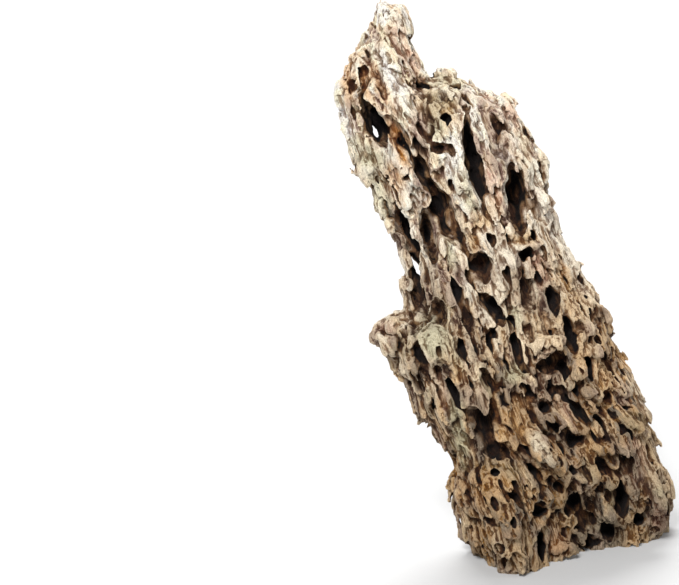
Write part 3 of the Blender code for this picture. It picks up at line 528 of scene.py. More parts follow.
def draw(cell, salt):
    """A repeatable number from 0 to 1 for each whole-numbered cell."""
    mixed = (cell[:, 0] * 73856093) ^ (cell[:, 1] * 19349663) ^ (cell[:, 2] * 83492791) ^ (salt * 40503)
    mixed = mixed & 0xFFFFFFFF
    mixed = (mixed ^ (mixed >> 13)) * 1274126177 & 0xFFFFFFFF
    mixed = (mixed ^ (mixed >> 15)) * 668265263 & 0xFFFFFFFF
    return ((mixed ^ (mixed >> 16)) & 0xFFFFFF) / 0x1000000


def flakes(points, salt):
    """Each point's flake: two numbers of its own, the way from its middle and the distance from its edge."""
    base = np.floor(points).astype(np.int64)
    first = np.full(len(points), 9.0)
    second = first.copy()
    own = np.zeros((len(points), 2))
    away = np.zeros((len(points), 3))
    for step in np.ndindex(3, 3, 3):
        cell = base + np.array(step) - 1
        gap_way = points - cell - np.stack([draw(cell, salt + k) for k in range(3)], axis=1)
        gap = np.sqrt((gap_way ** 2).sum(axis=1))
        second = np.minimum(second, np.maximum(first, gap))
        closer = gap < first
        first[closer] = gap[closer]
        away[closer] = gap_way[closer]
        own[closer, 0] = draw(cell[closer], salt + 3)
        own[closer, 1] = draw(cell[closer], salt + 4)
    return own, away, second - first


def flakes_along_grain(points, name):
    """Each point's flake in one of the named kinds."""
    stretch, wander, bend, wide, salt = SHINGLES[name][:5]
    return flakes(grain_space(points, stretch, wander, bend) / (wide * MM), salt)


def shingle(points, name):
    """Height of overlapping flakes, thickest where their lower ends break off, and how far those hang."""
    step_up, tilt, crease = SHINGLES[name][5:]
    own, away, edge = flakes_along_grain(points, name)
    height = step_up * (own[:, 0] - 0.5) - tilt * (away @ GRAIN)
    height = height + (own[:, 1] - 0.5) * 1.2 * tilt * (away @ ACROSS_GRAIN)
    crack = 1.0 - np.clip(edge / 0.16, 0.0, 1.0)
    return height - crease * crack, np.clip(-(away @ GRAIN), 0.0, 0.6)


def drift(points, salt):
    """Smooth noise from -1 to 1 over unit cubes."""
    base = np.floor(points).astype(np.int64)
    t = points - base
    t = t * t * (3.0 - 2.0 * t)
    total = np.zeros(len(points))
    for step in np.ndindex(2, 2, 2):
        weight = np.ones(len(points))
        for axis in range(3):
            weight = weight * (t[:, axis] if step[axis] else 1.0 - t[:, axis])
        total += weight * draw(base + np.array(step), salt)
    return total * 2.0 - 1.0


def lean_at(across, up):
    """How far the grain leans to the left, in degrees: steeper low down on the right."""
    low = math.exp(-(((across - 35) / 60) ** 2) - ((up - 70) / 60) ** 2)
    return 17.0 + 17.0 * low


def grain_space(points, stretch, wander=0.0, salt=0):
    """Points turned and pressed so that an even pattern comes out long and lies along the stone's grain."""
    centre = np.array((0.035, 0.0, 0.07))
    away = points - centre
    turn = GRAIN_LEAN * np.exp(-(away[:, 0] ** 2 + away[:, 2] ** 2) / 0.06 ** 2)
    x = away[:, 0] * np.cos(turn) + away[:, 2] * np.sin(turn)
    z = -away[:, 0] * np.sin(turn) + away[:, 2] * np.cos(turn)
    bent = np.stack((x, away[:, 1], z), axis=1) + centre
    if wander:
        bent = bent + wander * np.stack([drift(bent / 0.022, salt + k) for k in (11, 12, 13)], axis=1)
    return bent - np.outer(bent @ GRAIN, GRAIN) * (1.0 - 1.0 / stretch)


def ridges(points, stretch, wander, bend, wide, salt):
    """Thin ridges along the grain: 1 on their crests, falling to -1 between them."""
    return 1.0 - 2.0 * np.abs(drift(grain_space(points, stretch, wander, bend) / (wide * MM), salt))


def skin_tree(item):
    points = [Vector(p) for p in points_of(item)]
    return BVHTree.FromPolygons(points, [tuple(face.vertices) for face in item.data.polygons])


def skin_hit(tree, across, up):
    """Where the viewer's line of sight meets the stone."""
    hit, normal, _, _ = tree.ray_cast(EYE, (picture_point(across, up) - EYE).normalized())
    return hit, normal


def grain_axes(lean, inward):
    """Axes of a leaning form: sideways, into the stone, and up along the grain."""
    a = math.radians(lean)
    along = (UPWARD * math.cos(a) - RIGHT * math.sin(a)).normalized()
    inward = (inward - along * inward.dot(along)).normalized()
    return inward.cross(along), inward, along


def add_ball(segments, rings, boxy, taper_up, taper_down):
    """The pattern for plates or pockets: a ball made boxy, with its upper and lower ends drawn in."""
    deselect()
    bpy.ops.mesh.primitive_uv_sphere_add(segments=segments, ring_count=rings, radius=1.0)
    ball = added("ball")
    points = points_of(ball)
    points /= (np.abs(points) ** boxy).sum(axis=1)[:, None] ** (1.0 / boxy)
    z = points[:, 2:3]
    points[:, :2] *= 1.0 - taper_up * np.clip(z, 0.0, 1.0) ** 1.5 - taper_down * np.clip(-z, 0.0, 1.0) ** 1.5
    put_points(ball, points)
    return ball


def stretch_ball(ball, centre, axes, radii):
    """A copy of the ball with its own mesh, stretched along its axes and set in its place."""
    copy = ball.copy()
    copy.data = ball.data.copy()
    turned = Matrix(axes).transposed().to_4x4()
    copy.data.transform(Matrix.Translation(centre) @ turned @ Matrix.Diagonal((*radii, 1.0)))
    bpy.context.collection.objects.link(copy)
    return copy


def join(target, others):
    only(target)
    for item in others:
        item.select_set(True)
    bpy.ops.object.join()


def discard(item):
    mesh = item.data
    bpy.data.objects.remove(item, do_unlink=True)
    bpy.data.meshes.remove(mesh)


class DRAGONSTONE_OT_block(bpy.types.Operator):
    """Rough block: the outline as a slab, rounded into the leaning body with its thick front foot"""

    bl_idname = "dragonstone.block"
    bl_label = "Rough Block"

    def execute(self, context):
        deselect()
        bpy.ops.mesh.primitive_circle_add(vertices=len(OUTLINE), radius=0.1, fill_type="NGON")
        stone = added(STONE)
        for point, (across, up) in zip(stone.data.vertices, OUTLINE):
            point.co = picture_point(across, up) - TO_EYE * SLAB_HALF
        bpy.ops.object.mode_set(mode="EDIT")
        bpy.ops.mesh.select_all(action="SELECT")
        bpy.ops.mesh.extrude_region_move(TRANSFORM_OT_translate={"value": TO_EYE * (2.0 * SLAB_HALF)})
        bpy.ops.mesh.select_all(action="SELECT")
        bpy.ops.mesh.normals_make_consistent(inside=False)
        bpy.ops.object.mode_set(mode="OBJECT")
        voxel = settings().block_voxel
        remesh(stone, voxel * 1.3)
        points = points_of(stone)
        across, up = points @ np.array(RIGHT) / MM, points @ np.array(UPWARD) / MM
        side = np.clip(points @ np.array(TO_EYE) / SLAB_HALF, -1.0, 1.0)
        table = np.array(BODY)
        middle, depth, half, turn = (np.interp(up, table[:, 0], table[:, k]) for k in (1, 2, 3, 4))
        inside = distance_inside(across, up)
        reach = np.clip(inside / (half * 1.05), 0.0, 1.0)
        fullness = (1.0 - (1.0 - reach) ** 2.4) ** 0.62
        plane = -(depth + turn * (across - middle) - up * math.sin(VIEW_TILT)) / math.cos(VIEW_TILT)
        thick = half * fullness * side
        front = np.clip(side, 0.0, 1.0) ** 1.5 * np.clip(inside / 14.0, 0.0, 1.0)
        for cx, cy, wide, long, lean, out in SWELLINGS:
            thick = thick + front * out * np.exp(-oval(across, up, cx, cy, wide, long, lean))
        put_points(stone, seen_points(across, up, plane + thick))
        remesh(stone, voxel)
        return {"FINISHED"}


class DRAGONSTONE_OT_plates(bpy.types.Operator):
    """Plates, ribs, ledges and knobs on the front, thickest where their lower end breaks off as an eave"""

    bl_idname = "dragonstone.plates"
    bl_label = "Plates and Ledges"

    def execute(self, context):
        stone = bpy.data.objects[STONE]
        tree = skin_tree(stone)
        ball = add_ball(*PLATE_BALL)
        forms = []
        for across, up, long, wide, lean, out, _ in PLATES:
            a = math.radians(lean)
            hit, normal = skin_hit(tree, across + math.sin(a) * long * 0.12, up - math.cos(a) * long * 0.12)
            if hit is None:
                continue
            side, inner, along = grain_axes(lean, (-TO_EYE * 0.6 - normal * 0.4).normalized())
            axis = (along + inner * 0.16).normalized()
            inner = (inner - axis * inner.dot(axis)).normalized()
            radii = (wide * 0.5 * MM, (out + 4.0) * MM, long * 0.52 * MM)
            forms.append(stretch_ball(ball, hit + inner * (4.0 * MM), (side, inner, axis), radii))
        discard(ball)
        plates = forms[0]
        join(plates, forms)
        remesh(plates, settings().block_voxel)
        points = points_of(plates)
        ragged, _ = shingle(points, "plate edges")
        put_points(plates, points + normals_of(plates) * (1.4 * MM * ragged)[:, None])
        join(stone, [plates])
        remesh(stone, settings().block_voxel)
        return {"FINISHED"}


def smooth_field(values, edges, rounds):
    """Values averaged with their neighbours over the mesh's edges, so many times."""
    count = np.bincount(edges.ravel(), minlength=len(values)).astype(float)
    count[count == 0] = 1.0
    for _ in range(rounds):
        total = np.zeros_like(values)
        for k in range(values.shape[1]):
            total[:, k] = np.bincount(edges[:, 0], values[edges[:, 1], k], len(values))
            total[:, k] += np.bincount(edges[:, 1], values[edges[:, 0], k], len(values))
        values = 0.5 * values + 0.5 * total / count[:, None]
    return values


def smoothness_at(across, up, near_front):
    """How smooth the plates are at each place: 0 off them, up to 1 on the smoothest."""
    value = np.zeros(len(across))
    for cx, cy, long, wide, lean, _, smooth in PLATES:
        spot = oval(across, up, cx, cy, wide * 0.55, long * 0.5, lean)
        value = np.maximum(value, smooth * np.exp(-1.2 * spot ** 2))
    return value * near_front


def low_share(across, up):
    """1 in the lower right, where the flakes are short and lean most, falling to 0 away from it."""
    return np.exp(-((across - 40) / 60) ** 2 - ((up - 75) / 75) ** 2)


class DRAGONSTONE_OT_flakes(bpy.types.Operator):
    """Flakes: the skin splits along the grain into splinters and shingles, with chips and cracks between"""

    bl_idname = "dragonstone.flakes"
    bl_label = "Flakes"

    def execute(self, context):
        stone = bpy.data.objects[STONE]
        values = settings()
        remesh(stone, values.skin_voxel * 1.1)
        self.split(stone, values)
        remesh(stone, values.skin_voxel * 1.1)
        self.chip(stone, values)
        return {"FINISHED"}

    def strength_at(self, points, normals):
        """How broken up the skin is, less so on smooth plates, and the share of the low right's grain."""
        across, up, _ = seen_from_front(points)
        facing = blend(0.0, 0.4, normals @ np.array(TO_EYE))
        return 1.0 - 0.8 * smoothness_at(across, up, facing), low_share(across, up)

    def split(self, stone, values):
        """Long splinters high up, shorter shingles low down on the right."""
        points = points_of(stone)
        normals = smooth_field(normals_of(stone), edges_of(stone), 4)
        strength, low = self.strength_at(points, normals)
        tall, tall_hang = shingle(points, "splinters")
        short, short_hang = shingle(points, "low shingles")
        main = tall * (1.0 - low) + short * low
        swell = drift(points / (30.0 * MM), 3) * 1.2 * MM
        height = swell + strength * main * values.flake_depth - 0.6 * MM
        across, up, _ = seen_from_front(points)
        rim = blend(3.0, 12.0, distance_inside(across, up))
        hang = 0.8 * tall_hang * (1.0 - low) + 0.45 * short_hang * low
        hang = rim * strength * hang * values.flake_depth
        put_points(stone, points + normals * height[:, None] - hang[:, None] * GRAIN)

    def chip(self, stone, values):
        """Small chips and the fibres between them."""
        points = points_of(stone)
        normals = smooth_field(normals_of(stone), edges_of(stone), 3)
        strength, low = self.strength_at(points, normals)
        fret, hang = shingle(points, "chips")
        fibre = ridges(points, 9.0, 0.002, 19, 3.6, 51)
        height = (0.25 + 0.75 * strength) * (1.0 - 0.3 * low) * values.fret_depth * (fret + 0.5 * fibre)
        hang = strength * hang * values.fret_depth
        put_points(stone, points + normals * height[:, None] - hang[:, None] * GRAIN)


def pocket_balls(ball, centre, axes, long, wide, depth):
    """A pocket is deepest under its upper end, like a fingertip pushed up under an eave."""
    side, inner, along = axes
    axis = (along + inner * 0.18).normalized()
    inner = (inner - axis * inner.dot(axis)).normalized()
    axes = (side, inner, axis)
    mouth = (wide * 0.72 * MM, max(depth, wide * 0.7) * MM * 0.9, long * 0.6 * MM)
    head = centre + along * (long * 0.22 * MM) + inner * (depth * 0.35 * MM)
    size = min(wide * 0.64, long * 0.42)
    upper = (size * MM, max(depth * 0.75, size) * MM, long * 0.32 * MM)
    return [stretch_ball(ball, centre, axes, mouth), stretch_ball(ball, head, axes, upper)]


def scattered_pockets(ball, stone, taken):
    """More pockets, spread by a seeded draw: large ones on the sides and back, small ones in front."""
    rng = random.Random(SEED)
    faces = stone.data.polygons
    across, up, _ = seen_from_front(points_of(stone))
    first = np.array([face.vertices[0] for face in faces])
    smooth = smoothness_at(across, up, 1.0)[first]
    on_rim = (distance_inside(across, up) < RIM_MM)[first]
    nub_across, nub_up, nub_reach, nub_height = NUB
    on_nub = ((np.abs(across - nub_across) < nub_reach) & (np.abs(up - nub_up) < nub_height))[first]
    forms = []
    for _ in range(SCATTER_TRIES):
        face = faces[rng.randrange(len(faces))]
        centre, normal = face.center, face.normal
        if on_nub[face.index] or (on_rim[face.index] and normal.dot(TO_EYE) > -0.6):
            continue
        if normal.dot(TO_EYE) > 0.35:
            low = float(blend(0.0, 1.0, 1.0 - centre.z / 0.2))
            long, wide = rng.uniform(8, 22), rng.uniform(2.2, 3.5 + 2.5 * low)
            depth = rng.uniform(3, 6 + 6 * low)
            if centre.z < FOOT_FRONT or rng.random() > 0.35 + 0.65 * low or smooth[face.index] > 0.35:
                continue
        else:
            long, wide, depth = rng.uniform(12, 34), rng.uniform(4.5, 10.0), rng.uniform(5, 18)
        if centre.z < 0.002 or centre.z > TIP_START:
            continue
        room = (0.21 * long + 0.34 * wide) * MM
        if any((centre - other).length < room + gap for other, gap in taken):
            continue
        a = math.radians(lean_at(centre.dot(RIGHT) / MM, centre.dot(UPWARD) / MM) + rng.uniform(-7, 7))
        along = Vector((-math.sin(a), 0.0, math.cos(a)))
        if abs(normal.dot(along)) > 0.88:
            continue
        taken.append((centre.copy(), room))
        inner = (-normal + along * normal.dot(along)).normalized()
        depth = min(depth, 7.0) if centre.z > 0.27 else depth
        forms += pocket_balls(ball, centre, (inner.cross(along), inner, along), long, wide * 0.95, depth)
    return forms


def keep_one_body(item):
    """Drop crumbs and closed bubbles, so that one closed body is left."""
    edges = edges_of(item)
    label = np.arange(len(item.data.vertices))
    while True:
        low = np.minimum(label[edges[:, 0]], label[edges[:, 1]])
        new = label.copy()
        np.minimum.at(new, edges[:, 0], low)
        np.minimum.at(new, edges[:, 1], low)
        new = new[new]
        if np.array_equal(new, label):
            break
        label = new
    names, sizes = np.unique(label, return_counts=True)
    keep = label == names[np.argmax(sizes)]
    if keep.all():
        return
    only(item)
    bpy.ops.object.mode_set(mode="EDIT")
    bpy.ops.mesh.select_mode(type="VERT")
    bpy.ops.mesh.select_all(action="DESELECT")
    bpy.ops.object.mode_set(mode="OBJECT")
    item.data.vertices.foreach_set("select", ~keep)
    bpy.ops.object.mode_set(mode="EDIT")
    bpy.ops.mesh.delete(type="VERT")
    bpy.ops.object.mode_set(mode="OBJECT")


class DRAGONSTONE_OT_pockets(bpy.types.Operator):
    """Pockets: long hollows along the grain, and the two places where daylight shows through"""

    bl_idname = "dragonstone.pockets"
    bl_label = "Pockets"

    def execute(self, context):
        stone = bpy.data.objects[STONE]
        tree = skin_tree(stone)
        ball = add_ball(*POCKET_BALL)
        taken = []
        forms = []
        for across, up, long, wide, lean, depth in POCKETS:
            hit, normal = skin_hit(tree, across, up)
            if hit is None:
                continue
            axes = grain_axes(lean, (-TO_EYE * 0.75 - normal * 0.25).normalized())
            forms += pocket_balls(ball, hit, axes, long, wide, depth)
            for step in (-0.33, 0.0, 0.33):
                taken.append((hit + axes[2] * (long * step * MM), (wide * 0.5 + 1.5) * MM))
        for across, up, long, wide, lean in THROUGH_HOLES:
            hit, normal = skin_hit(tree, across, up)
            if hit is None:
                continue
            axes = grain_axes(lean, picture_point(across, up) - EYE)
            radii = (wide * 0.5 * MM, HOLE_REACH, long * 0.5 * MM)
            forms.append(stretch_ball(ball, hit + axes[1] * HOLE_MIDDLE, axes, radii))
        forms += scattered_pockets(ball, stone, taken)
        discard(ball)
        cutter = forms[0]
        join(cutter, forms)
        remesh(cutter, settings().skin_voxel * 1.1)
        # Ragged walls: the pockets' sides are flaked along the grain as the skin is.
        points = points_of(cutter)
        ragged, _ = shingle(points, "pocket walls")
        waver = drift(grain_space(points, 1.8) / (6.0 * MM), 77)
        put_points(cutter, points + normals_of(cutter) * (1.4 * MM * ragged + 1.1 * MM * waver)[:, None])
        remesh(cutter, settings().skin_voxel * 1.1)
        apply_modifier(stone, "BOOLEAN", operation="DIFFERENCE", solver="MANIFOLD", object=cutter)
        discard(cutter)
        keep_one_body(stone)
        return {"FINISHED"}


def seen_share(item):
    """1 for the points that the viewer sees and those close by, 0 for the others."""
    tree = skin_tree(item)
    seen = np.zeros((len(item.data.vertices), 1))
    off_skin = 0.0004
    for k, (p, n) in enumerate(zip(points_of(item), normals_of(item))):
        start = Vector(p + n * off_skin)
        way = EYE - start
        if way.dot(Vector(n)) > 0.0 and tree.ray_cast(start, way.normalized())[0] is None:
            seen[k] = 1.0
    return smooth_field(seen, edges_of(item), 3)[:, 0] > 0.02


class DRAGONSTONE_OT_weathering(bpy.types.Operator):
    """Weathering: fine streaks along the grain, then the flat cut of the foot"""

    bl_idname = "dragonstone.weathering"
    bl_label = "Weathering"

    def execute(self, context):
        stone = bpy.data.objects[STONE]
        values = settings()
        self.draw_streaks(stone, values)
        self.cut_foot(stone)
        self.thin_out(stone, values)
        # The thinning moves some points of the cut a hair off the floor, and they go back to it.
        points = points_of(stone)
        points[:, 2] = np.where(points[:, 2] < 0.15 * MM, 0.0, points[:, 2])
        put_points(stone, points)
        keep_one_body(stone)
        return {"FINISHED"}

    def draw_streaks(self, stone, values):
        points = points_of(stone)
        fine, _ = shingle(points, "streaks")
        thin = ridges(points, 8.0, 0.0012, 15, 2.4, 55)
        wisp = ridges(points, 7.0, 0.0, 0, 1.4, 57)
        height = values.streak_depth * (0.9 * fine + 0.6 * thin + 0.4 * wisp)
        put_points(stone, points + normals_of(stone) * height[:, None])

    def thin_out(self, stone, values):
        """Most triangles stay where the viewer looks; the other sides keep enough for their own shapes."""
        apply_modifier(stone, "TRIANGULATE")
        seen = seen_share(stone)
        corners = np.empty(len(stone.data.polygons) * 3, dtype=np.int64)
        stone.data.polygons.foreach_get("vertices", corners)
        kept = int(seen[corners.reshape(-1, 3)].any(axis=1).sum())
        group = stone.vertex_groups.new(name="hidden")
        group.add(np.flatnonzero(~seen).tolist(), 1.0, "REPLACE")
        share = min(1.0, (kept + values.hidden_faces) / len(stone.data.polygons))
        apply_modifier(stone, "DECIMATE", decimate_type="COLLAPSE", ratio=share, vertex_group="hidden",
                       use_collapse_triangulate=True)
        share = min(1.0, values.faces / len(stone.data.polygons))
        apply_modifier(stone, "DECIMATE", decimate_type="COLLAPSE", ratio=share,
                       use_collapse_triangulate=True)
        stone.vertex_groups.clear()

    def cut_foot(self, stone):
        """Everything below the floor goes."""
        deselect()
        bpy.ops.mesh.primitive_cube_add(size=1.0, location=(0.0, 0.0, -0.5))
        block = added("floor_cut")
        apply_modifier(stone, "BOOLEAN", operation="DIFFERENCE", solver="MANIFOLD", object=block)
        discard(block)


def add_node(tree, kind, place, inputs, **values):
    """Add a node with its settings; an input is a value, or a pair of a node and the output feeding it."""
    node = tree.nodes.new(kind)
    node.location = (place[0] * 200, place[1] * -180)
    for key, value in values.items():
        setattr(node, key, value)
    for socket, value in inputs.items():
        if isinstance(value, tuple) and isinstance(value[0], bpy.types.Node):
            tree.links.new(value[0].outputs[value[1]], node.inputs[socket])
        else:
            node.inputs[socket].default_value = value
    return node


def clay_stone():
    """Weathered clay stone: dull, streaked along its grain and pale on worn edges, with painted shade in its
    creases and a near-black painted shade deep in its pockets.
    """
    values = settings()
    material = bpy.data.materials.new("weathered_clay_stone")
    material.use_nodes = True
    tree = material.node_tree
    tree.nodes.clear()
    # Each source and share is a pair of a node and its output.
    source = {}
    for row, name in enumerate(("bleach", "wear", "shelter")):
        source[name] = (add_node(tree, "ShaderNodeAttribute", (0, row), {}, attribute_name=name), "Fac")
    grain = (add_node(tree, "ShaderNodeAttribute", (0, 3), {}, attribute_name="grain_place"), "Vector")
    clay = (add_node(tree, "ShaderNodeAttribute", (0, 4), {}, attribute_name="clay"), "Color")
    place = (add_node(tree, "ShaderNodeTexCoord", (0, 5), {}), "Object")
    for row, (name, width, detail, rough) in enumerate(PATTERNS):
        source[name] = (add_node(tree, "ShaderNodeTexNoise", (1, row), {
            "Vector": place if name == "grit" else grain,
            "Scale": 1.0 / (width * MM), "Detail": detail, "Roughness": rough}), "Fac")
    # Cracks are the thin lines where a pattern crosses its middle value.
    off_middle = add_node(tree, "ShaderNodeMath", (2, 3), {0: source["crack"], 1: 0.5}, operation="SUBTRACT")
    source["crack"] = (add_node(tree, "ShaderNodeMath", (3, 3), {0: (off_middle, "Value")},
                                operation="ABSOLUTE"), "Value")
    share = {}
    for row, (name, origin, low, high, at_low, at_high) in enumerate(SHARES):
        share[name] = (add_node(tree, "ShaderNodeMapRange", (4, row), {
            "Value": source[origin], "From Min": low, "From Max": high, "To Min": at_low, "To Max": at_high,
        }, interpolation_type="SMOOTHSTEP"), "Result")
    # Cracks show in some bands only, and the fibres break up the worn edges.
    for row, (name, other) in enumerate((("crack", "cracked band"), ("edge", "edge fibre"))):
        share[name] = (add_node(tree, "ShaderNodeMath", (5, row), {0: share[name], 1: share[other]},
                                operation="MULTIPLY"), "Value")
    stained = (add_node(tree, "ShaderNodeMix", (5, 3), {0: 1.0, 6: clay, 7: linear(SOIL_AND_SHADE["stain"])},
                        data_type="RGBA", blend_type="MULTIPLY"), 2)
    washed = (add_node(tree, "ShaderNodeMix", (5, 4), {0: source["bleach"], 6: clay, 7: tuple(values.crust)},
                       data_type="RGBA"), 2)
    # Laid over the clay one after another: (share, colour, how it is laid).
    layers = (
        ("dark band", stained, "MIX"),
        ("dark streak", stained, "MIX"),
        ("pale streak", washed, "MIX"),
        ("fibre", stained, "MIX"),
        ("crack", linear(SOIL_AND_SHADE["crack"]), "MIX"),
        ("edge", washed, "MIX"),
        # Painted shade: the creases are darkened.
        ("hollow", linear(SOIL_AND_SHADE["hollow"]), "MULTIPLY"),
        # Painted shade: sheltered places are darkened, and the deepest are laid near black.
        ("shade", linear(SOIL_AND_SHADE["shade"]), "MULTIPLY"),
        ("deep", tuple(values.painted_shade), "MIX"),
        ("dust", linear(SOIL_AND_SHADE["dust"]), "MULTIPLY"),
    )
    body = clay
    for column, (name, colour, way) in enumerate(layers):
        body = (add_node(tree, "ShaderNodeMix", (6 + column, 0), {0: share[name], 6: body, 7: colour},
                         data_type="RGBA", blend_type=way), 2)
    # The relief that is too fine for the mesh: streaks and fibres stand up, and cracks cut in.
    height = add_node(tree, "ShaderNodeMath", (14, 3), {0: source["streak"], 1: source["fibre"]},
                      operation="ADD")
    height = add_node(tree, "ShaderNodeMath", (15, 3), {0: (height, "Value"), 1: share["crack"]},
                      operation="SUBTRACT")
    bump = add_node(tree, "ShaderNodeBump", (16, 3), {
        "Height": (height, "Value"), "Strength": 0.9, "Distance": BUMP_HEIGHT})
    shader = add_node(tree, "ShaderNodeBsdfPrincipled", (17, 0), {
        "Base Color": body, "Roughness": share["roughness"], "Normal": (bump, "Normal"),
        "Specular IOR Level": 0.2})
    add_node(tree, "ShaderNodeOutputMaterial", (18, 0), {"Surface": (shader, "BSDF")})
    return material


def store(item, name, values):
    """Keep one number, place or colour for each point of the mesh, for the material to read."""
    kinds = {1: ("FLOAT", "value"), 3: ("FLOAT_VECTOR", "vector"), 4: ("FLOAT_COLOR", "color")}
    kind, field = kinds[1 if values.ndim == 1 else values.shape[1]]
    attribute = item.data.attributes.new(name, kind, "POINT")
    attribute.data.foreach_set(field, np.ascontiguousarray(values, dtype=np.float32).ravel())


def shelter_of(item, reach):
    """Share of the directions above each point that the stone blocks: 0 in the open, 1 deep in a pocket."""
    tree = skin_tree(item)
    turn = math.pi * (3.0 - math.sqrt(5.0))
    ways = []
    for k in range(SHELTER_WAYS):
        z = 1.0 - 2.0 * (k + 0.5) / SHELTER_WAYS
        flat = math.sqrt(1.0 - z * z)
        ways.append(Vector((math.cos(turn * k) * flat, math.sin(turn * k) * flat, z)))
    off_skin = 0.0003
    shelter = np.zeros((len(item.data.vertices), 1))
    facing = normals_of(item) @ np.array(ways).T
    starts = points_of(item) + normals_of(item) * off_skin
    for k, row in enumerate(facing):
        start = Vector(starts[k])
        total = 0.0
        hidden = 0.0
        for number in np.flatnonzero(row > 0.15):
            weight = row[number]
            total += weight
            if tree.ray_cast(start, ways[number], reach)[0] is not None:
                hidden += weight
        shelter[k] = hidden / max(total, 0.001)
    return smooth_field(shelter, edges_of(item), 1)[:, 0]


def between(names, tone):
    """Colours along three named ones, from the first at 0 to the last at 1."""
    keys = np.array([linear(COLOURS[name]) for name in names])
    return np.stack([np.interp(tone, (0.0, 0.5, 1.0), keys[:, channel]) for channel in range(4)], axis=1)


def clay_colours(points, facing, across, up):
    """The clay's colour: each flake and chip has its tone, the front has its stained patches, and painted
    light makes it brighter high up and darker low on the right.
    """
    flake, _, _ = flakes_along_grain(points, "splinters")
    chip, _, _ = flakes(grain_space(points, 3.4, 0.002, 7) / (4.0 * MM), 31)
    tone = 0.5 * flake[:, 0] + 0.5 * chip[:, 1] + 0.12 * drift(points / (16.0 * MM), 83)
    tone = np.clip(0.5 + 2.4 * (tone - 0.5), 0.0, 1.0)
    # On the left, the pale high clay reaches further down.
    high = blend(60.0, 230.0, up - 0.45 * across)[:, None]
    grey = blend(-0.25, 0.25, drift(grain_space(points, 2.0) / (13.0 * MM), 85))[:, None]
    low_clay = between(LOW_CLAY, tone) * (1.0 - grey) + between(GREY_CLAY, tone) * grey
    colour = low_clay * (1.0 - high) + between(HIGH_CLAY, tone) * high
    stray = drift(points / (5.0 * MM), 81) * 2.2
    for cx, cy, long, wide, lean, name, share in PATCHES:
        spot = oval(across + stray, up + stray, cx, cy, wide * 0.55, long * 0.55, lean)
        weight = share * facing * np.exp(-spot ** 2)
        colour = colour + (np.array(linear(COLOURS[name])) - colour) * weight[:, None]
    bleach = (0.24 + 0.16 * high)[:, 0]
    # Painted light: on top of the paler clay high up, the clay is painted brighter towards the top and darker
    # low on the right, as the light falls from above.
    light = np.interp(up - 0.3 * across, *np.array(CLAY_PALENESS_AND_PAINTED_LIGHT).T)[:, None]
    tint = np.array(linear(LOW_TINT)) ** (1.0 - high)
    return np.clip(colour * light * tint, 0.0, 1.0), bleach


class DRAGONSTONE_OT_finish(bpy.types.Operator):
    """Finish: finds its worn edges, creases and sheltered hollows for the material's painted shade, colours
    its clay with painted light by height, and sets it in its frame
    """

    bl_idname = "dragonstone.finish"
    bl_label = "Finish"

    def execute(self, context):
        stone = bpy.data.objects[STONE]
        points = points_of(stone)
        normals = normals_of(stone)
        across, up, _ = seen_from_front(points)
        edges = edges_of(stone)
        near = smooth_field(points, edges, 2)
        far = smooth_field(near, edges, 12)
        small = ((points - near) * normals).sum(axis=1) / MM
        large = ((near - far) * normals).sum(axis=1) / MM
        # Ridges above 0 wear pale; creases below 0 get painted shade.
        store(stone, "wear", np.clip(small * 2.2 + large * 0.8, -1.0, 1.0))
        # How much of each point's sky the stone hides, which the material turns into painted shade.
        store(stone, "shelter", shelter_of(stone, SHELTER_REACH))
        store(stone, "grain_place", grain_space(points, 8.0, 0.0015, 15))
        facing = blend(-0.1, 0.3, normals @ np.array(TO_EYE))
        colour, bleach = clay_colours(points, facing, across, up)
        store(stone, "clay", colour)
        store(stone, "bleach", bleach)
        points[:, 0] -= STAND_MM[0] * MM
        points[:, 1] -= STAND_MM[1] * MM
        put_points(stone, points)
        only(stone)
        bpy.ops.object.shade_smooth_by_angle(angle=SMOOTH_ANGLE)
        stone.data.materials.clear()
        stone.data.materials.append(clay_stone())
        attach(stone, "root")
        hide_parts("dragon_stone")
        return {"FINISHED"}


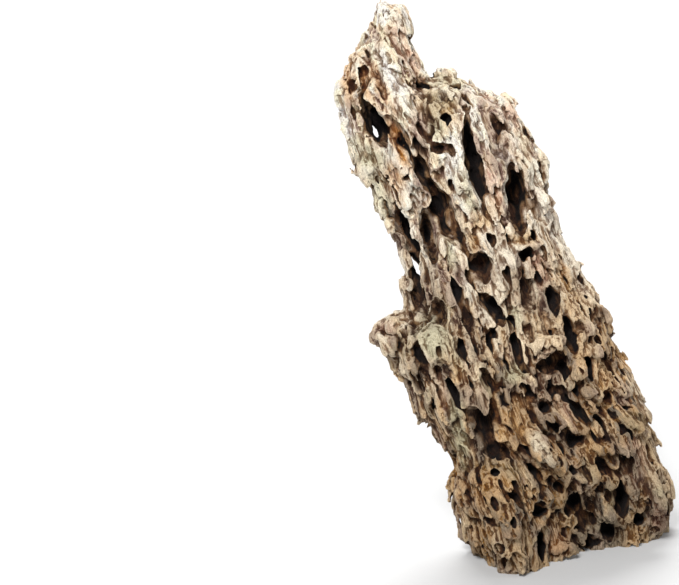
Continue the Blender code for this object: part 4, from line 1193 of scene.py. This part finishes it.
class DRAGONSTONE_OT_stage(bpy.types.Operator):
    """Stage: a plain pale floor, soft studio light and the camera at the picture's angle"""

    bl_idname = "dragonstone.stage"
    bl_label = "Stage"

    def execute(self, context):
        deselect()
        bpy.ops.mesh.primitive_plane_add(size=FLOOR_SIZE, location=(0.0, 0.0, 0.0))
        floor = added("floor")
        material = bpy.data.materials.new("matt_pale_paper")
        material.use_nodes = True
        shader = material.node_tree.nodes["Principled BSDF"]
        shader.inputs["Base Color"].default_value = tuple(settings().paper)
        shader.inputs["Roughness"].default_value = 0.9
        shader.inputs["Specular IOR Level"].default_value = 0.1
        floor.data.materials.append(material)
        world = bpy.data.worlds.new("white_studio")
        world.use_nodes = True
        backdrop = world.node_tree.nodes["Background"]
        backdrop.inputs["Color"].default_value = (1.0, 1.0, 1.0, 1.0)
        backdrop.inputs["Strength"].default_value = WORLD_LIGHT
        context.scene.world = world
        for name, towards, power, width in LAMPS:
            self.lamp(name, towards, power, width)
        self.camera(context)
        context.scene.view_settings.view_transform = "Standard"
        return {"FINISHED"}

    def lamp(self, name, towards, power, width):
        """A distant soft light that shines from a direction, so that the whole floor is lit evenly."""
        deselect()
        bpy.ops.object.light_add(type="SUN", location=Vector(towards) * 2.0)
        lamp = added(name)
        lamp.data.energy = power
        lamp.data.angle = math.radians(width)
        lamp.rotation_euler = (-Vector(towards)).to_track_quat("-Z", "Y").to_euler()

    def camera(self, context):
        """The camera stands where the viewer's eye is, and its frame is as wide as the picture."""
        deselect()
        shift = Vector((STAND_MM[0], STAND_MM[1], 0.0)) * MM
        bpy.ops.object.camera_add(location=EYE - shift, rotation=(math.pi / 2 - VIEW_TILT, 0.0, 0.0))
        camera = added("camera")
        camera.data.sensor_width = 36.0
        camera.data.lens = camera.data.sensor_width * EYE_DISTANCE / (PICTURE_WIDTH * MM_PER_PIXEL * MM)
        camera.data.clip_end = 50.0
        context.scene.camera = camera


class DRAGONSTONE_PT_panel(bpy.types.Panel):
    """The stone's sizes and colours, and its steps in order"""

    bl_idname = "DRAGONSTONE_PT_panel"
    bl_label = "Dragon Stone"
    bl_space_type = "VIEW_3D"
    bl_region_type = "UI"
    bl_category = "Dragon Stone"

    def draw(self, context):
        values = context.scene.dragon_stone
        sizes = self.layout.box()
        for key in ("block_voxel", "skin_voxel", "faces", "hidden_faces"):
            sizes.prop(values, key)
        depths = self.layout.box()
        for key in ("flake_depth", "fret_depth", "streak_depth"):
            depths.prop(values, key)
        colours = self.layout.box()
        for key in ("crust", "painted_shade", "paper"):
            colours.prop(values, key)
        for step in STEPS:
            self.layout.operator(step.bl_idname)


STEPS = (
    DRAGONSTONE_OT_block,
    DRAGONSTONE_OT_plates,
    DRAGONSTONE_OT_flakes,
    DRAGONSTONE_OT_pockets,
    DRAGONSTONE_OT_weathering,
    DRAGONSTONE_OT_finish,
    DRAGONSTONE_OT_stage,
)


def register():
    for item in (StoneSettings, *STEPS, DRAGONSTONE_PT_panel):
        bpy.utils.register_class(item)
    bpy.types.Scene.dragon_stone = bpy.props.PointerProperty(type=StoneSettings)


def unregister():
    del bpy.types.Scene.dragon_stone
    for item in reversed((StoneSettings, *STEPS, DRAGONSTONE_PT_panel)):
        bpy.utils.unregister_class(item)


def main():
    register()
    bpy.ops.dragonstone.block()
    bpy.ops.dragonstone.plates()
    bpy.ops.dragonstone.flakes()
    bpy.ops.dragonstone.pockets()
    bpy.ops.dragonstone.weathering()
    bpy.ops.dragonstone.finish()
    bpy.ops.dragonstone.stage()
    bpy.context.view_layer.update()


if __name__ == "__main__":
    main()
